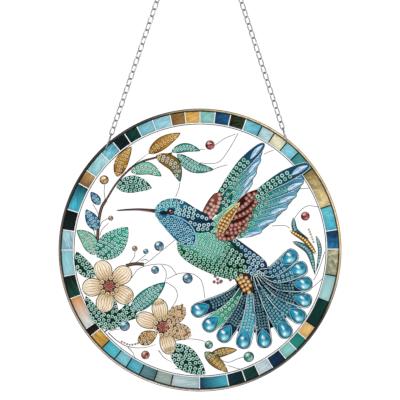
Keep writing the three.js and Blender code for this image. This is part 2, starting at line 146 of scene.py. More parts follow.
# ---------------------------------------------------------------- strokes of the picture
WIDTHS = {
    "leaf": lambda t: np.sin(math.pi * t ** 0.82) ** 0.95,
    "feather": lambda t: (0.35 + 0.65 * np.minimum(t / 0.6, 1)) * np.sqrt(np.maximum(1 - t ** 5, 0)),
    "drop": lambda t: np.sin(math.pi * t ** 1.35) ** 0.7,
    "petal": lambda t: np.sin(math.pi * (0.08 + 0.92 * t) ** 1.4) ** 0.6,
    "vane": lambda t: np.where(t < 0.86, 0.12 + 0.88 * np.sin(math.pi / 1.72 * np.minimum(t, 0.86)),
                               np.sqrt(np.maximum(1 - ((t - 0.86) / 0.14) ** 2, 0))),
    "tear": lambda t: np.where(t < 0.63, np.sin(math.pi / 1.26 * np.minimum(t, 0.63)) ** 1.15,
                               np.sqrt(np.maximum(1 - ((t - 0.63) / 0.37) ** 2, 0))),
    "marquise": lambda t: np.sin(math.pi * t),
    "oval": lambda t: np.sqrt(np.maximum(4 * t * (1 - t), 0)),
    "beak": lambda t: (0.5 + 0.5 * (1 - t) ** 2.2) * np.sqrt(np.maximum(1 - t ** 6, 0)),
    "head": lambda t: np.sin(math.pi * np.minimum(t * 1.25, 0.5 + 0.5 * t)) ** 0.75,
}
NARROWEST = 0.06


def middle(root, tip, sag):
    """The middle of a line, moved to its left by sag."""
    run = (tip[0] - root[0], tip[1] - root[1])
    length = math.hypot(*run)
    across = (root[0] + tip[0]) / 2 - run[1] / length * sag
    up = (root[1] + tip[1]) / 2 + run[0] / length * sag
    return (across, up)


def between(one, other, share):
    """A point on the way from one to the other."""
    return tuple(a + (b - a) * share for a, b in zip(one, other))


def polar(radius, degrees, centre=(0, 0)):
    angle = math.radians(degrees)
    return (centre[0] + radius * math.cos(angle), centre[1] + radius * math.sin(angle))


def circle(radius, steps):
    return [polar(radius, 360 * k / steps) for k in range(steps)]


def eased(steps):
    """Shares from 0 to 1 that lie closer together near both ends."""
    return 0.5 - 0.5 * np.cos(math.pi * np.linspace(0, 1, steps + 1))


class Stroke:
    """A shape of the picture: a spine through three points and a width along it."""

    def __init__(self, root, over, tip, half, width="leaf"):
        self.knots = np.array([root, over, tip], float) * PICTURE_UNIT
        self.half = half * PICTURE_UNIT
        self.share = WIDTHS[width]

    def spine(self, t):
        """Places along the spine, and the directions to its left."""
        run = 2 * np.asarray(t, float)
        k = np.minimum(run.astype(int), 1)
        w = (run - k)[:, None]
        before, here = self.knots[np.maximum(k - 1, 0)], self.knots[k]
        there, after = self.knots[k + 1], self.knots[np.minimum(k + 2, 2)]
        leave, arrive = (there - before) / 2, (after - here) / 2
        cubic = 2 * here - 2 * there + leave + arrive
        square = -3 * here + 3 * there - 2 * leave - arrive
        spot = ((cubic * w + square) * w + leave) * w + here
        heading = (3 * cubic * w + 2 * square) * w + leave
        heading /= np.linalg.norm(heading, axis=1, keepdims=True)
        return spot, np.stack([-heading[:, 1], heading[:, 0]], axis=1)

    def half_at(self, t):
        with np.errstate(invalid="ignore"):
            share = np.nan_to_num(self.share(np.clip(t, 0, 1)))
        return np.maximum(share, NARROWEST) * self.half

    def outline(self, grow=0.0):
        t = eased(26)
        spot, left = self.spine(t)
        wide = (self.half_at(t) + grow)[:, None]
        return np.concatenate([spot + left * wide, (spot - left * wide)[::-1]])


def leaf(root, tip, half, sag=0.0, width="leaf"):
    return Stroke(root, middle(root, tip, sag), tip, half, width)


def inside(polygon, spot):
    """Whether a spot lies in a closed outline."""
    x, z = spot
    ax, az = polygon[:, 0], polygon[:, 1]
    bx, bz = np.roll(ax, -1), np.roll(az, -1)
    cross = (az > z) != (bz > z)
    with np.errstate(divide="ignore", invalid="ignore"):
        reach = ax + (z - az) * (bx - ax) / (bz - az)
    return bool(np.sum(cross & (x < reach)) % 2)


# ---------------------------------------------------------------- meshes and piles of faces
FIELDS = {"FLOAT_COLOR": "color", "FLOAT_VECTOR": "vector", "FLOAT": "value"}


def write_attribute(mesh, name, kind, values):
    layer = mesh.attributes.new(name, kind, "POINT")
    layer.data.foreach_set(FIELDS[kind], np.array(values, np.float32).ravel())


def write_colours(mesh, name, colours):
    write_attribute(mesh, name, "FLOAT_COLOR", [(*colour, 1) for colour in colours])


def plain_mesh(name, points, faces, finish=None, smooth=False):
    """A mesh of points in metres, with one finish."""
    mesh = bpy.data.meshes.new(name)
    mesh.from_pydata(points, [], faces, shade_flat=not smooth)
    if finish:
        mesh.materials.append(finish)
    return mesh


class Pile:
    """Points, faces, tints and pattern runs of one piece while it is made."""

    def __init__(self):
        self.points = []
        self.faces = []
        self.tints = []
        self.runs = []

    def add(self, points, faces, tints, runs=None):
        start = len(self.points)
        self.points += points
        self.faces += [[start + i for i in face] for face in faces]
        self.tints += tints
        self.runs += runs or [(0, 0, 0)] * len(points)

    def mesh(self, name, finish):
        points = [place(x, z, height - SUNK) for x, z, height in self.points]
        mesh = plain_mesh(name, points, self.faces, finish)
        write_colours(mesh, "tint", self.tints)
        write_attribute(mesh, "run", "FLOAT_VECTOR", self.runs)
        return mesh


def stitch(rings, size, round_again=False, flip=False):
    """Faces between rings of equal size, laid one after another."""
    faces = []
    for k in range(rings if round_again else rings - 1):
        here, there = k * size, (k + 1) % rings * size
        for i in range(size):
            j = (i + 1) % size
            if flip:
                faces.append([here + i, there + i, there + j, here + j])
            else:
                faces.append([here + i, here + j, there + j, there + i])
    return faces


def loft(rings, size):
    """Faces between rings of equal size, with both ends closed."""
    last = (rings - 1) * size
    ends = [list(range(size))[::-1], [last + i for i in range(size)]]
    return stitch(rings, size) + ends


def lay_sheet(pile, points, tints, runs, columns):
    """A thin closed plate over a grid of points, given row after row, down to the panel's face."""
    rows_made = len(points) // columns
    faces = []
    for k in range(rows_made - 1):
        for i in range(columns - 1):
            a = k * columns + i
            faces.append([a, a + 1, a + columns + 1, a + columns])
    last = (rows_made - 1) * columns
    loop = list(range(columns)) + [k * columns + columns - 1 for k in range(1, rows_made)]
    loop += [last + i for i in range(columns - 2, -1, -1)]
    loop += [k * columns for k in range(rows_made - 2, 0, -1)]
    foot, size = len(points), len(loop)
    for i in range(size):
        j = (i + 1) % size
        faces.append([loop[j], loop[i], foot + i, foot + j])
    faces.append([foot + i for i in range(size)][::-1])
    corners = [points[i] for i in loop]
    area = sum(a[0] * b[1] - b[0] * a[1] for a, b in zip(corners, corners[1:] + corners[:1]))
    if area < 0:
        faces = [face[::-1] for face in faces]
    pile.add(points + [(x, z, 0) for x, z, _ in corners], faces,
             tints + [tints[i] for i in loop], runs + [runs[i] for i in loop])


def lay_plate(pile, stroke, height, tint, dome=0.0, steps=22, across=6):
    """A thin closed plate in a stroke's shape, from the panel's face to a height."""
    t = eased(steps)
    spot, left = stroke.spine(t)
    wide = stroke.half_at(t)
    points, tints, runs = [], [], []
    for k in range(steps + 1):
        for i in range(across + 1):
            s = 1 - 2 * i / across
            x, z = spot[k] + left[k] * wide[k] * s
            points.append((x, z, height + dome * (1 - s * s) * math.sin(math.pi * t[k]) ** 0.5))
            tints.append(tint(t[k], s))
            runs.append((t[k], s, stroke.half))
    lay_sheet(pile, points, tints, runs, across + 1)


def lay_fan(pile, inner, outer, height, tint, steps=6):
    """A thin closed plate between two paths of equal count."""
    points, tints = [], []
    for k, (near, far) in enumerate(zip(inner, outer)):
        for i in range(steps + 1):
            x, z = near + (far - near) * i / steps
            points.append((x, z, height))
            tints.append(tint(i / steps, k / (len(inner) - 1)))
    lay_sheet(pile, points, tints, [(0, 0, 0)] * len(points), steps + 1)


TAPER = 0.6


def lay_line(pile, path, width, low, high, tint, closed=False, taper=False):
    """A printed line along a path: a low bar, closed at its ends or on itself."""
    path = np.array(path, float)
    if closed:
        ahead, behind = np.roll(path, -1, axis=0), np.roll(path, 1, axis=0)
    else:
        ahead = np.concatenate([path[1:], path[-1:]])
        behind = np.concatenate([path[:1], path[:-1]])
    heading = ahead - behind
    heading /= np.maximum(np.linalg.norm(heading, axis=1, keepdims=True), 1e-6)
    left = np.stack([-heading[:, 1], heading[:, 0]], axis=1)
    corners = ((-1, low), (-1, high), (1, high), (1, low))
    points = []
    for k, (spot, side) in enumerate(zip(path, left)):
        half = width / 2
        if taper:
            half *= 1 - TAPER * k / (len(path) - 1)
        for across, height in corners:
            x, z = spot + side * across * half
            points.append((x, z, height))
    if closed:
        faces = stitch(len(path), len(corners), round_again=True)
    else:
        faces = loft(len(path), len(corners))
    pile.add(points, faces, [tint] * len(points))


CUT_SECTION = [
    # across, up
    (-1, 0), (-1, 0.3), (-0.84, 0.6), (-0.66, 0.82), (-0.46, 0.93), (-0.24, 1), (0, 1), (0.24, 1),
    (0.46, 0.93), (0.66, 0.82), (0.84, 0.6), (1, 0.3), (1, 0),
]


def lay_cut_stone(pile, stroke, base, height, tint, steps=12):
    """A long faceted stone in a stroke's shape."""
    t = eased(steps)
    spot, left = stroke.spine(t)
    wide = stroke.half_at(t)
    points, tints = [], []
    for k in range(steps + 1):
        rise = height * math.sqrt(wide[k] / stroke.half)
        for s, up in CUT_SECTION:
            x, z = spot[k] - left[k] * wide[k] * s
            points.append((x, z, base + up * rise))
            tints.append(tint(t[k], s, up))
    pile.add(points, loft(steps + 1, len(CUT_SECTION)), tints)


LIGHT_FROM = 2.2
ROUND_SECTION = [
    # radius, height and share of the painted highlight, the window of light, from the girdle to the top
    (1, 0, 0), (1, 0.3, 0), (0.82, 0.62, 0.3), (0.6, 0.84, 1), (0.3, 1, 0.7),
]
GIRDLE_RINGS = 2
BRIGHT_FACETS = 0.18


def lay_round_stone(pile, x, z, radius, base, height, tints, sides=12):
    """A round faceted stone with painted light: painted shade at the girdle, a painted highlight (a window
    of light) on its upper left, a fainter painted glow on its lower right, and facets darkened or lit at
    random as painted sparkle.
    """
    dark, body, pale = tints
    turn = chance.uniform(0, math.pi)
    points, colours = [], []
    for k, (share, up, lit) in enumerate(ROUND_SECTION):
        for i in range(sides):
            angle = turn + 2 * math.pi * (i + 0.5 * (k % 2)) / sides
            across, rise = radius * share * math.cos(angle), radius * share * math.sin(angle)
            points.append((x + across, z + rise, base + height * up))
            # A painted highlight towards LIGHT_FROM and a painted glow opposite; facets get a random
            # painted shade, deeper beside the girdle, and a share of them are painted pale as glints.
            towards = math.cos(angle - LIGHT_FROM)
            window = max(0, towards) ** 5 * lit
            glow = 0.35 * max(0, -towards) ** 6
            deep = chance.uniform(0, 0.95) + (0.25 if k == GIRDLE_RINGS else 0)
            facet = mix(body, dark, min(1, deep))
            facet = mix(facet, pale, 0.4 if chance.random() < BRIGHT_FACETS else 0)
            colours.append(dark if k < GIRDLE_RINGS else mix(facet, pale, max(window, glow)))
    peak = len(points)
    top = peak - sides
    faces = loft(len(ROUND_SECTION), sides)[:-1]
    faces += [[top + i, top + (i + 1) % sides, peak] for i in range(sides)]
    # The top point is painted darker than the body, as painted shade.
    pile.add(points + [(x, z, base + height)], faces, colours + [mix(dark, body, 0.55)])


# ---------------------------------------------------------------- nodes and materials
def feed(tree, socket, source):
    """Links a socket to another node's output, or sets it to a plain value."""
    if isinstance(source, bpy.types.NodeSocket):
        tree.links.new(source, socket)
    else:
        socket.default_value = source


def node(tree, kind, sockets=None, **settings):
    """A node with its settings made, and then its sockets fed."""
    made = tree.nodes.new(kind)
    for name, value in settings.items():
        setattr(made, name, value)
    for socket, source in (sockets or {}).items():
        feed(tree, made.inputs[socket], source)
    return made


def calculate(tree, operation, *sources):
    return node(tree, "ShaderNodeMath", dict(enumerate(sources)), operation=operation).outputs[0]


def remap(tree, value, **limits):
    sockets = {name.replace("_", " ").title(): limit for name, limit in limits.items()}
    return node(tree, "ShaderNodeMapRange", {"Value": value, **sockets}).outputs["Result"]


def blend_colours(tree, factor, one, other):
    sockets = {"Factor": factor, "A": one, "B": other}
    return node(tree, "ShaderNodeMix", sockets, data_type="RGBA").outputs["Result"]


def brighten(tree, colour, times):
    sockets = {0: colour, "Scale": times}
    return node(tree, "ShaderNodeVectorMath", sockets, operation="SCALE").outputs[0]


def attribute(tree, name, output="Color"):
    made = node(tree, "ShaderNodeAttribute", attribute_name=name, attribute_type="GEOMETRY")
    return made.outputs[output]


def parts_of(tree, vector):
    return node(tree, "ShaderNodeSeparateXYZ", {0: vector}).outputs


def new_group(name, kind, takes, gives):
    """A node group, the outputs of its input node and the inputs of its output node."""
    group = bpy.data.node_groups.new(name, kind)
    for in_out, sockets in (("INPUT", takes), ("OUTPUT", gives)):
        for socket, sort in sockets.items():
            group.interface.new_socket(socket, in_out=in_out, socket_type="NodeSocket" + sort)
    return group, node(group, "NodeGroupInput").outputs, node(group, "NodeGroupOutput").inputs


def mottle_group():
    """Darkens and lightens a colour in soft cloudy patches."""
    group, given, made = new_group(
        "cloudy_glass", "ShaderNodeTree",
        {"Colour": "Color", "Place": "Vector", "Grain": "Float", "Strength": "Float"},
        {"Colour": "Color", "Cloud": "Float"})
    noise = node(group, "ShaderNodeTexNoise", {
        "Vector": given["Place"],
        "Scale": given["Grain"],
        "Detail": 3,
        "Distortion": 0.8,
    }).outputs["Fac"]
    centred = calculate(group, "MULTIPLY_ADD", noise, 2, -1)
    amount = calculate(group, "MULTIPLY", centred, given["Strength"])
    factor = calculate(group, "ADD", amount, 1)
    feed(group, made["Colour"], brighten(group, given["Colour"], factor))
    feed(group, made["Cloud"], noise)
    return group


cloudy = mottle_group()


def add_cloud(tree, colour, where, grain, strength):
    sockets = {"Colour": colour, "Place": where, "Grain": grain, "Strength": strength}
    return node(tree, "ShaderNodeGroup", sockets, node_tree=cloudy).outputs


def new_material(name, **plain):
    """A material with its tree and shader, whose own sockets take the plain values."""
    material = bpy.data.materials.new(name)
    material.use_nodes = True
    shader = material.node_tree.nodes["Principled BSDF"]
    for socket, value in plain.items():
        shader.inputs[socket.replace("_", " ")].default_value = value
    return material, material.node_tree, shader


def mottled(name, grain, strength, **plain):
    """A finish in the piece's own tints, with soft clouds on it."""
    material, tree, shader = new_material(name, **plain)
    where = node(tree, "ShaderNodeTexCoord").outputs["Object"]
    cloud = add_cloud(tree, attribute(tree, "tint"), where, grain, strength)
    feed(tree, shader.inputs["Base Color"], cloud["Colour"])
    return material


def resin_stone():
    """A faceted stone with painted light: a pale ring of facets as a painted highlight about a deep table,
    and painted shade at the girdle.
    """
    material, tree, shader = new_material("resin_stone", Roughness=0.25, Specular_IOR_Level=0.3)
    table = attribute(tree, "core")
    facet = blend_colours(tree, attribute(tree, "ring", "Fac"), table, attribute(tree, "tint"))
    # Painted shade at the girdle: the table's colour darkened.
    deep = brighten(tree, table, times=0.22)
    edge = blend_colours(tree, attribute(tree, "girdle", "Fac"), facet, deep)
    feed(tree, shader.inputs["Base Color"], edge)
    return material


def cut_crystal():
    """A large cut stone, each facet in its own tint; the tints paint its highlights and shade."""
    material, tree, shader = new_material("cut_crystal", Roughness=0.08, Specular_IOR_Level=0.22)
    feed(tree, shader.inputs["Base Color"], attribute(tree, "tint"))
    return material


VEIN_WAVES = 21
VEIN_WANDER = 0.35


def petal_enamel():
    """Cream with fine brown veins that run from root to tip."""
    material, tree, shader = new_material("petal_enamel", Roughness=0.35)
    where = node(tree, "ShaderNodeTexCoord").outputs["Object"]
    wander = node(tree, "ShaderNodeTexNoise", {"Vector": where, "Scale": 300}).outputs["Fac"]
    across = parts_of(tree, attribute(tree, "run", "Vector"))["Y"]
    bent = calculate(tree, "MULTIPLY_ADD", wander, VEIN_WANDER, across)
    crest = calculate(tree, "SINE", calculate(tree, "MULTIPLY", bent, VEIN_WAVES))
    vein = remap(tree, crest, from_min=0.4, from_max=1.1, to_max=0.95)
    inked = blend_colours(tree, vein, attribute(tree, "tint"), (*paint("7c5228"), 1))
    cloud = add_cloud(tree, inked, where, grain=180, strength=0.18)
    feed(tree, shader.inputs["Base Color"], cloud["Colour"])
    return material


def tile_glass():
    """Streaky glass with painted glints along its streaks: the run attribute holds each tile's own pattern
    place and its strength.
    """
    material, tree, shader = new_material("tile_glass", Roughness=0.12, Specular_IOR_Level=0.12)
    run = parts_of(tree, attribute(tree, "run", "Vector"))
    flat = node(tree, "ShaderNodeCombineXYZ", {"X": run["X"], "Y": run["Y"]}).outputs[0]
    cloud = add_cloud(tree, attribute(tree, "tint"), flat, grain=0.3, strength=run["Z"])
    # Lighter diagonal bands: streaks of the glass, brightened as painted glints.
    streaks = node(tree, "ShaderNodeTexWave", {
        "Vector": flat,
        "Scale": 0.12,
        "Distortion": 9,
        "Detail": 3,
    }, wave_type="BANDS", bands_direction="DIAGONAL").outputs["Fac"]
    glow = remap(tree, streaks, from_min=0.55, to_max=0.3)
    lit = blend_colours(tree, glow, cloud["Colour"], brighten(tree, cloud["Colour"], times=1.45))
    feed(tree, shader.inputs["Base Color"], lit)
    sockets = {"Strength": 0.25, "Distance": 0.0003, "Height": cloud["Cloud"]}
    ripple = node(tree, "ShaderNodeBump", sockets).outputs["Normal"]
    feed(tree, shader.inputs["Normal"], ripple)
    return material


film = mottled("printed_film", grain=260, strength=0.35, Roughness=0.5, Specular_IOR_Level=0.06)
resin = resin_stone()
crystal = cut_crystal()
enamel = petal_enamel()
glass_tile = tile_glass()
acrylic = new_material(
    "clear_acrylic", Base_Color=(1, 1, 1, 1), Roughness=0.0, Transmission_Weight=1.0, IOR=1.45)[0]
# The hoop's tints carry painted reflection; the soft clouds on them are patina.
brass = mottled("aged_brass", grain=120, strength=0.5, Metallic=0.45, Roughness=0.35)
silver = new_material(
    "polished_silver", Base_Color=(0.5, 0.51, 0.53, 1), Metallic=0.8, Roughness=0.28)[0]


# ---------------------------------------------------------------- repeats by Geometry Nodes
def repeat_tree():
    """Sets a copy of one shape on every spot, turned and sized by the spots' own attributes."""
    takes = {"Geometry": "Geometry", "Spots": "Object", "Shape": "Object", "Finish": "Material",
             "Size": "Float"}
    tree, given, made = new_group("set_on_spots", "GeometryNodeTree", takes, {"Geometry": "Geometry"})
    spots = node(tree, "GeometryNodeObjectInfo", {"Object": given["Spots"]})
    shape = node(tree, "GeometryNodeObjectInfo", {"Object": given["Shape"]})
    size = node(tree, "GeometryNodeInputNamedAttribute", {"Name": "size"}, data_type="FLOAT")
    aim = node(tree, "GeometryNodeInputNamedAttribute", {"Name": "aim"}, data_type="FLOAT_VECTOR")
    turn = node(tree, "FunctionNodeEulerToRotation", {0: aim.outputs["Attribute"]})
    copies = node(tree, "GeometryNodeInstanceOnPoints", {
        "Points": spots.outputs["Geometry"],
        "Instance": shape.outputs["Geometry"],
        "Rotation": turn.outputs[0],
        "Scale": calculate(tree, "MULTIPLY", size.outputs["Attribute"], given["Size"]),
    })
    real = node(tree, "GeometryNodeRealizeInstances", {"Geometry": copies.outputs["Instances"]})
    finish = node(tree, "GeometryNodeSetMaterial", {
        "Geometry": real.outputs["Geometry"],
        "Material": given["Finish"],
    })
    both = node(tree, "GeometryNodeJoinGeometry", {"Geometry": finish.outputs["Geometry"]})
    feed(tree, both.inputs["Geometry"], given["Geometry"])
    feed(tree, made["Geometry"], both.outputs["Geometry"])
    return tree


set_on_spots = repeat_tree()


def hold(mesh):
    """An object of the scene for a mesh."""
    made = bpy.data.objects.new(mesh.name, mesh)
    bpy.context.scene.collection.objects.link(made)
    return made


def spots_mesh(spots):
    """A mesh of loose points: each spot is (place, size, aim, tint, core)."""
    places, sizes, aims, tints, cores = zip(*spots)
    mesh = plain_mesh("spots", places, [])
    write_attribute(mesh, "size", "FLOAT", sizes)
    write_attribute(mesh, "aim", "FLOAT_VECTOR", aims)
    write_colours(mesh, "tint", tints)
    write_colours(mesh, "core", cores)
    return mesh


def plain_result(held):
    """What an object's modifiers make, as a plain mesh."""
    graph = bpy.context.evaluated_depsgraph_get()
    return bpy.data.meshes.new_from_object(
        held.evaluated_get(graph), preserve_all_data_layers=True, depsgraph=graph)


def with_copies(base, spots, shape, finish, size=1.0):
    """The base mesh together with copies of a shape on its spots, as one plain mesh."""
    body = hold(base)
    points = hold(spots_mesh(spots))
    modifier = body.modifiers.new("set_on_spots", "NODES")
    modifier.node_group = set_on_spots
    values = {"Spots": points, "Shape": shape, "Finish": finish, "Size": size}
    for item in set_on_spots.interface.items_tree:
        if item.in_out == "INPUT" and item.name in values:
            modifier[item.identifier] = values[item.name]
    mesh = plain_result(body)
    body.modifiers.remove(modifier)
    mesh.name = base.name
    bpy.data.objects.remove(body)
    bpy.data.objects.remove(points)
    return mesh


def settle(mesh, slot, *stands_for):
    """Puts a finished piece on the body, in place of its solids."""
    piece = hold(mesh)
    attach(piece, "root")
    if stands_for:
        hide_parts(*stands_for)


STONE_SECTION = [
    # radius, height, share of the pale ring (a painted highlight) and of the dark girdle (painted shade),
    # from the foot to the table
    (1, 0, 0, 1), (1, 0.35, 0, 0.85), (0.86, 0.66, 1, 0), (0.56, 0.86, 1, 0), (0.36, 0.8, 0, 0),
]


def stone_shape(sides=8):
    """A round stone of radius 1, its axis towards the viewer, with a pale ring of facets marked for a
    painted highlight.
    """
    points, ring, girdle = [], [], []
    for k, (share, up, pale, dark) in enumerate(STONE_SECTION):
        for i in range(sides):
            x, z = polar(share, 360 * (i + 0.5 * (k % 2)) / sides)
            points.append((x * MM, -up * MM, z * MM))
            ring.append(pale)
            girdle.append(dark)
    last = (len(STONE_SECTION) - 1) * sides
    faces = stitch(len(STONE_SECTION), sides, flip=True)
    faces += [list(range(sides)), [last + i for i in range(sides)][::-1]]
    mesh = plain_mesh("stone", points, faces)
    write_attribute(mesh, "ring", "FLOAT", ring)
    write_attribute(mesh, "girdle", "FLOAT", girdle)
    return hold(mesh)


stone = stone_shape()


def finish_piece(name, slot, pile, finish, *stands_for, spots=()):
    """Makes one piece of a pile, with round stones on its spots."""
    base = pile.mesh(name, finish)
    mesh = with_copies(base, spots, stone, resin) if spots else base
    settle(mesh, slot, *stands_for)


# ---------------------------------------------------------------- stones on the picture
# Painted light on the stones: GLINT and GLEAM_RANGE give the share of white mixed in as a painted glint,
# SHADOW a random painted shade, and the darkening of the ground seen in a stone's table is painted shade
# too.
GLINT = 0.45
APART = 0.8
SHADOW = 0.28
GLEAM_RANGE = (0.1, 1.15)
SIZE_RANGE = (0.94, 1.04)
TABLE_SHADE = 0.72
INSIDE_SHARE = 0.8
EDGE_INSET = 0.9
OUTLINE_INSET = 0.1
RIB_WIDTH = 0.4

covered = []


def is_free(spot):
    """Whether no shape laid before, so nearer the viewer, covers a spot."""
    return not any(inside(outline, spot) for outline in covered)


def is_clear(spots, spot, radius, apart=APART):
    """Whether a stone on a spot would leave the stones laid before it uncovered."""
    return all(math.hypot(spot[0] - there[0], spot[2] - there[2]) > apart * (radius + size) * MM
               for there, size, *_ in spots)


def spaced(track, wanted, pitch, shifted):
    """Numbers of the wanted points along a track that lie a pitch apart."""
    run = np.concatenate([[0], np.cumsum(np.linalg.norm(np.diff(track, axis=0), axis=1))])
    due = pitch / 2 if shifted else 0
    found = []
    for i in np.flatnonzero(wanted):
        if run[i] >= due:
            found.append(i)
            due = run[i] + pitch
    return found


def rows(stroke, low, high, pitch, radius, vein=False, start=0.0, end=1.0, gap=0.88):
    """Places of stones in rows along a stroke, between two shares of its width and length."""
    t = np.linspace(0, 1, 260)
    spot, left = stroke.spine(t)
    room = stroke.half_at(t) - radius * INSIDE_SHARE
    step = pitch * gap
    count = int(stroke.half / step) + 1
    found = []
    for k in range(-count, count + 1):
        offset = (k + 0.5 if vein else k) * step
        if not low <= offset / stroke.half <= high:
            continue
        track = spot + left * offset
        wanted = (start <= t) & (t <= end) & (abs(offset) <= room)
        for i in spaced(track, wanted, pitch, k % 2):
            found.append((track[i][0], track[i][1], t[i], offset / stroke.half))
    return found


def edge_rows(stroke, count, pitch, radius, side=-1, gap=0.86):
    """Places of stones in rows that follow one edge of a stroke, from that edge inwards."""
    t = np.linspace(0.015, 0.985, 300)
    spot, left = stroke.spine(t)
    half = stroke.half_at(t)
    found = []
    for k in range(count):
        reach = half - (radius * EDGE_INSET + k * pitch * gap)
        track = spot + left * (side * reach)[:, None]
        wanted = reach > radius * INSIDE_SHARE - half
        for i in spaced(track, wanted, pitch, k % 2):
            found.append((track[i][0], track[i][1], t[i], side))
    return found


def add_stones(spots, found, radius, level, stops, ground, glint=GLINT, table=None, apart=APART):
    """Adds the stones that no shape nearer the viewer covers; their tables show the ground darkened as
    painted shade, or a zone's own table colour, lighter as a painted highlight or darker as painted shade.
    """
    for x, z, t, s in found:
        spot = place(x, z, level)
        if is_free((x, z)) and is_clear(spots, spot, radius, apart):
            # A random painted shade, then white mixed in as a painted glint.
            tint = mix(shade(stops, t), INK, chance.uniform(0, SHADOW))
            gleam = WHITE if tint[0] > tint[2] else COOL_WHITE
            tint = mix(tint, gleam, chance.uniform(*GLEAM_RANGE) * glint)
            turn = (0, chance.uniform(0, math.pi), 0)
            size = radius * chance.uniform(*SIZE_RANGE)
            core = table or mix(ground(t, s), BLACK, TABLE_SHADE)
            spots.append((spot, size, turn, tint, core))


def zone(*codes, low=-1.0, high=1.0, pitch=STONE_PITCH, radius=STONE_RADIUS, **more):
    """Stones of one kind in a field: their tints from root to tip, and where they lie."""
    return {"stops": even(*codes), "low": low, "high": high, "pitch": pitch, "radius": radius, **more}


def small(*codes, pitch=SMALL_PITCH, radius=SMALL_RADIUS, **more):
    return zone(*codes, pitch=pitch, radius=radius, **more)


def zone_places(stroke, stones, veined):
    """Places of a zone's stones: rows along its edges, or rows along the whole stroke."""
    if "edge" not in stones:
        return rows(stroke, stones["low"], stones["high"], stones["pitch"], stones["radius"],
                    veined, stones.get("start", 0), stones.get("end", 1))
    found = []
    for side in stones.get("sides", (-1,)):
        found += edge_rows(stroke, stones["edge"], stones["pitch"], stones["radius"], side)
    return found


def lay_field(pile, spots, strokes, level, ground, zones, line=INK, vein=None, line_width=LINE_WIDTH):
    """Lays printed plates, their outlines and their stones, nearest the viewer first."""
    for k, stroke in enumerate(strokes):
        height = level - k * PRINT_STEP
        lay_plate(pile, stroke, height, ground)
        edge = stroke.outline(-OUTLINE_INSET)
        lay_line(pile, edge, line_width, 0, height + LINE_RISE, line, closed=True)
        if vein:
            rib = stroke.spine(np.linspace(0.04, 0.9, 12))[0]
            lay_line(pile, rib, RIB_WIDTH, height - 0.01, height + 0.1, vein, taper=True)
        for stones in zones:
            found = zone_places(stroke, stones, bool(vein))
            add_stones(spots, found, stones["radius"], height, stones["stops"], ground,
                       stones.get("glint", GLINT), stones.get("table"), stones.get("apart", APART))
        covered.append(stroke.outline(zones[0]["radius"] * 0.5))


def plain_ground(*codes):
    return along(even(*codes))


def field_piece(name, slot, strokes, level, ground, zones, *stands_for, **more):
    """One piece of printed plates with round stones."""
    pile, spots = Pile(), []
    lay_field(pile, spots, strokes, level, ground, zones, **more)
    finish_piece(name, slot, pile, film, *stands_for, spots=spots)


# ---------------------------------------------------------------- the bird
BEAK_LIGHT = even("2f2022", "8c6c66", "8c8484", "2a2224")
BEAK_DARK = even("4a3030", "5c3c3a", "1c181a", "141214")
EYE_PLACE = (-20.6, 27.2)
EYE_RADIUS = 1.9
EYE_BASE = 0.86


def build_beak():
    beak = Stroke((-31.6, 27.6), (-44, 28.7), (-59.2, 28.0), 1.5, "beak")
    parting = beak.spine(np.linspace(0, 1, 16))[0]
    pile = Pile()
    lay_plate(pile, beak, 0.84, lambda t, s: shade(BEAK_LIGHT if s > 0 else BEAK_DARK, t), dome=0.12)
    lay_line(pile, parting, 0.3, 0.3, 0.98, paint("2a2023"), taper=True)
    finish_piece("bird_beak", "dark_enamel", pile, film, "bird_beak")
    covered.append(beak.outline(0.4))


def build_eye():
    """A dark mask and ring about a brown stone, with one painted glint: a small white stone."""
    pile = Pile()
    x, z = (PICTURE_UNIT * where for where in EYE_PLACE)
    mask = leaf((-29.6, 26.4), (-18.5, 27.4), 1.5, -0.5)
    lay_plate(pile, mask, 0.82, plain_ground("10161f"))
    covered.append(mask.outline(0.6))
    ring = leaf((-23.4, 27.2), (-17.8, 27.2), 2.5, 0, "oval")
    lay_plate(pile, ring, EYE_BASE, plain_ground("16222e"))
    covered.append(ring.outline(0.7))
    # Dark, body and pale of the stone: painted shade at its girdle, a painted highlight on its upper left.
    brown = (paint("0c0d12"), paint("4c2c2a"), paint("94706a"))
    lay_round_stone(pile, x, z, EYE_RADIUS, EYE_BASE, 0.7, brown, sides=14)
    lay_round_stone(pile, x - 0.5, z + 0.6, 0.5, 1.3, 0.35, (WHITE, WHITE, WHITE), sides=8)
    finish_piece("bird_eye", "dark_enamel", pile, crystal, "bird_eye")


def build_head():
    gorget = Stroke((-31.5, 25.3), (-15.5, 15.5), (-4.5, 3.8), 7.6, "drop")
    sky = plain_ground("1a6c8c", "10527c", "083458")
    field_piece("gorget_stones", "cobalt_stones", [gorget], 0.74, sky, [
        small("7cd4ec", "78d0f0", "8cdcf8", radius=1.35, pitch=2.75, glint=0.35),
    ], "bird_gorget", line=paint("a9cbe0"))
    head = Stroke((-32, 27.5), (-15, 28.5), (9, 20.6), 7.6, "head")
    crown = plain_ground("2c9cb8", "1c88a8", "0c4264", "06243c")
    field_piece("head_stones", "blue_stones", [head], 0.7, crown, [
        small("9cf4fc", "9cf0fc", end=0.5, radius=1.2, pitch=2.5, glint=0.5),
        zone("90dcec", "c4ecf2", start=0.52, radius=1.5, pitch=3.2, glint=0.8),
        small("8cecfc", "7cc8e4", end=0.5, radius=1.0, pitch=1.0, glint=0.3, apart=0.9),
    ], "bird_head")
    nape = Stroke((-13, 22), (-1, 17.6), (10, 18.5), 5.2, "oval")
    field_piece("nape_stones", "blue_stones", [nape], 0.64, plain_ground("15405f", "0f2c48"), [
        zone("94d0e4", "c4e4ec", radius=1.5, pitch=3.2, glint=0.7),
        zone("8cc8e0", "a4d4e4", radius=1.3, pitch=1.3, glint=0.5, apart=0.95),
    ])


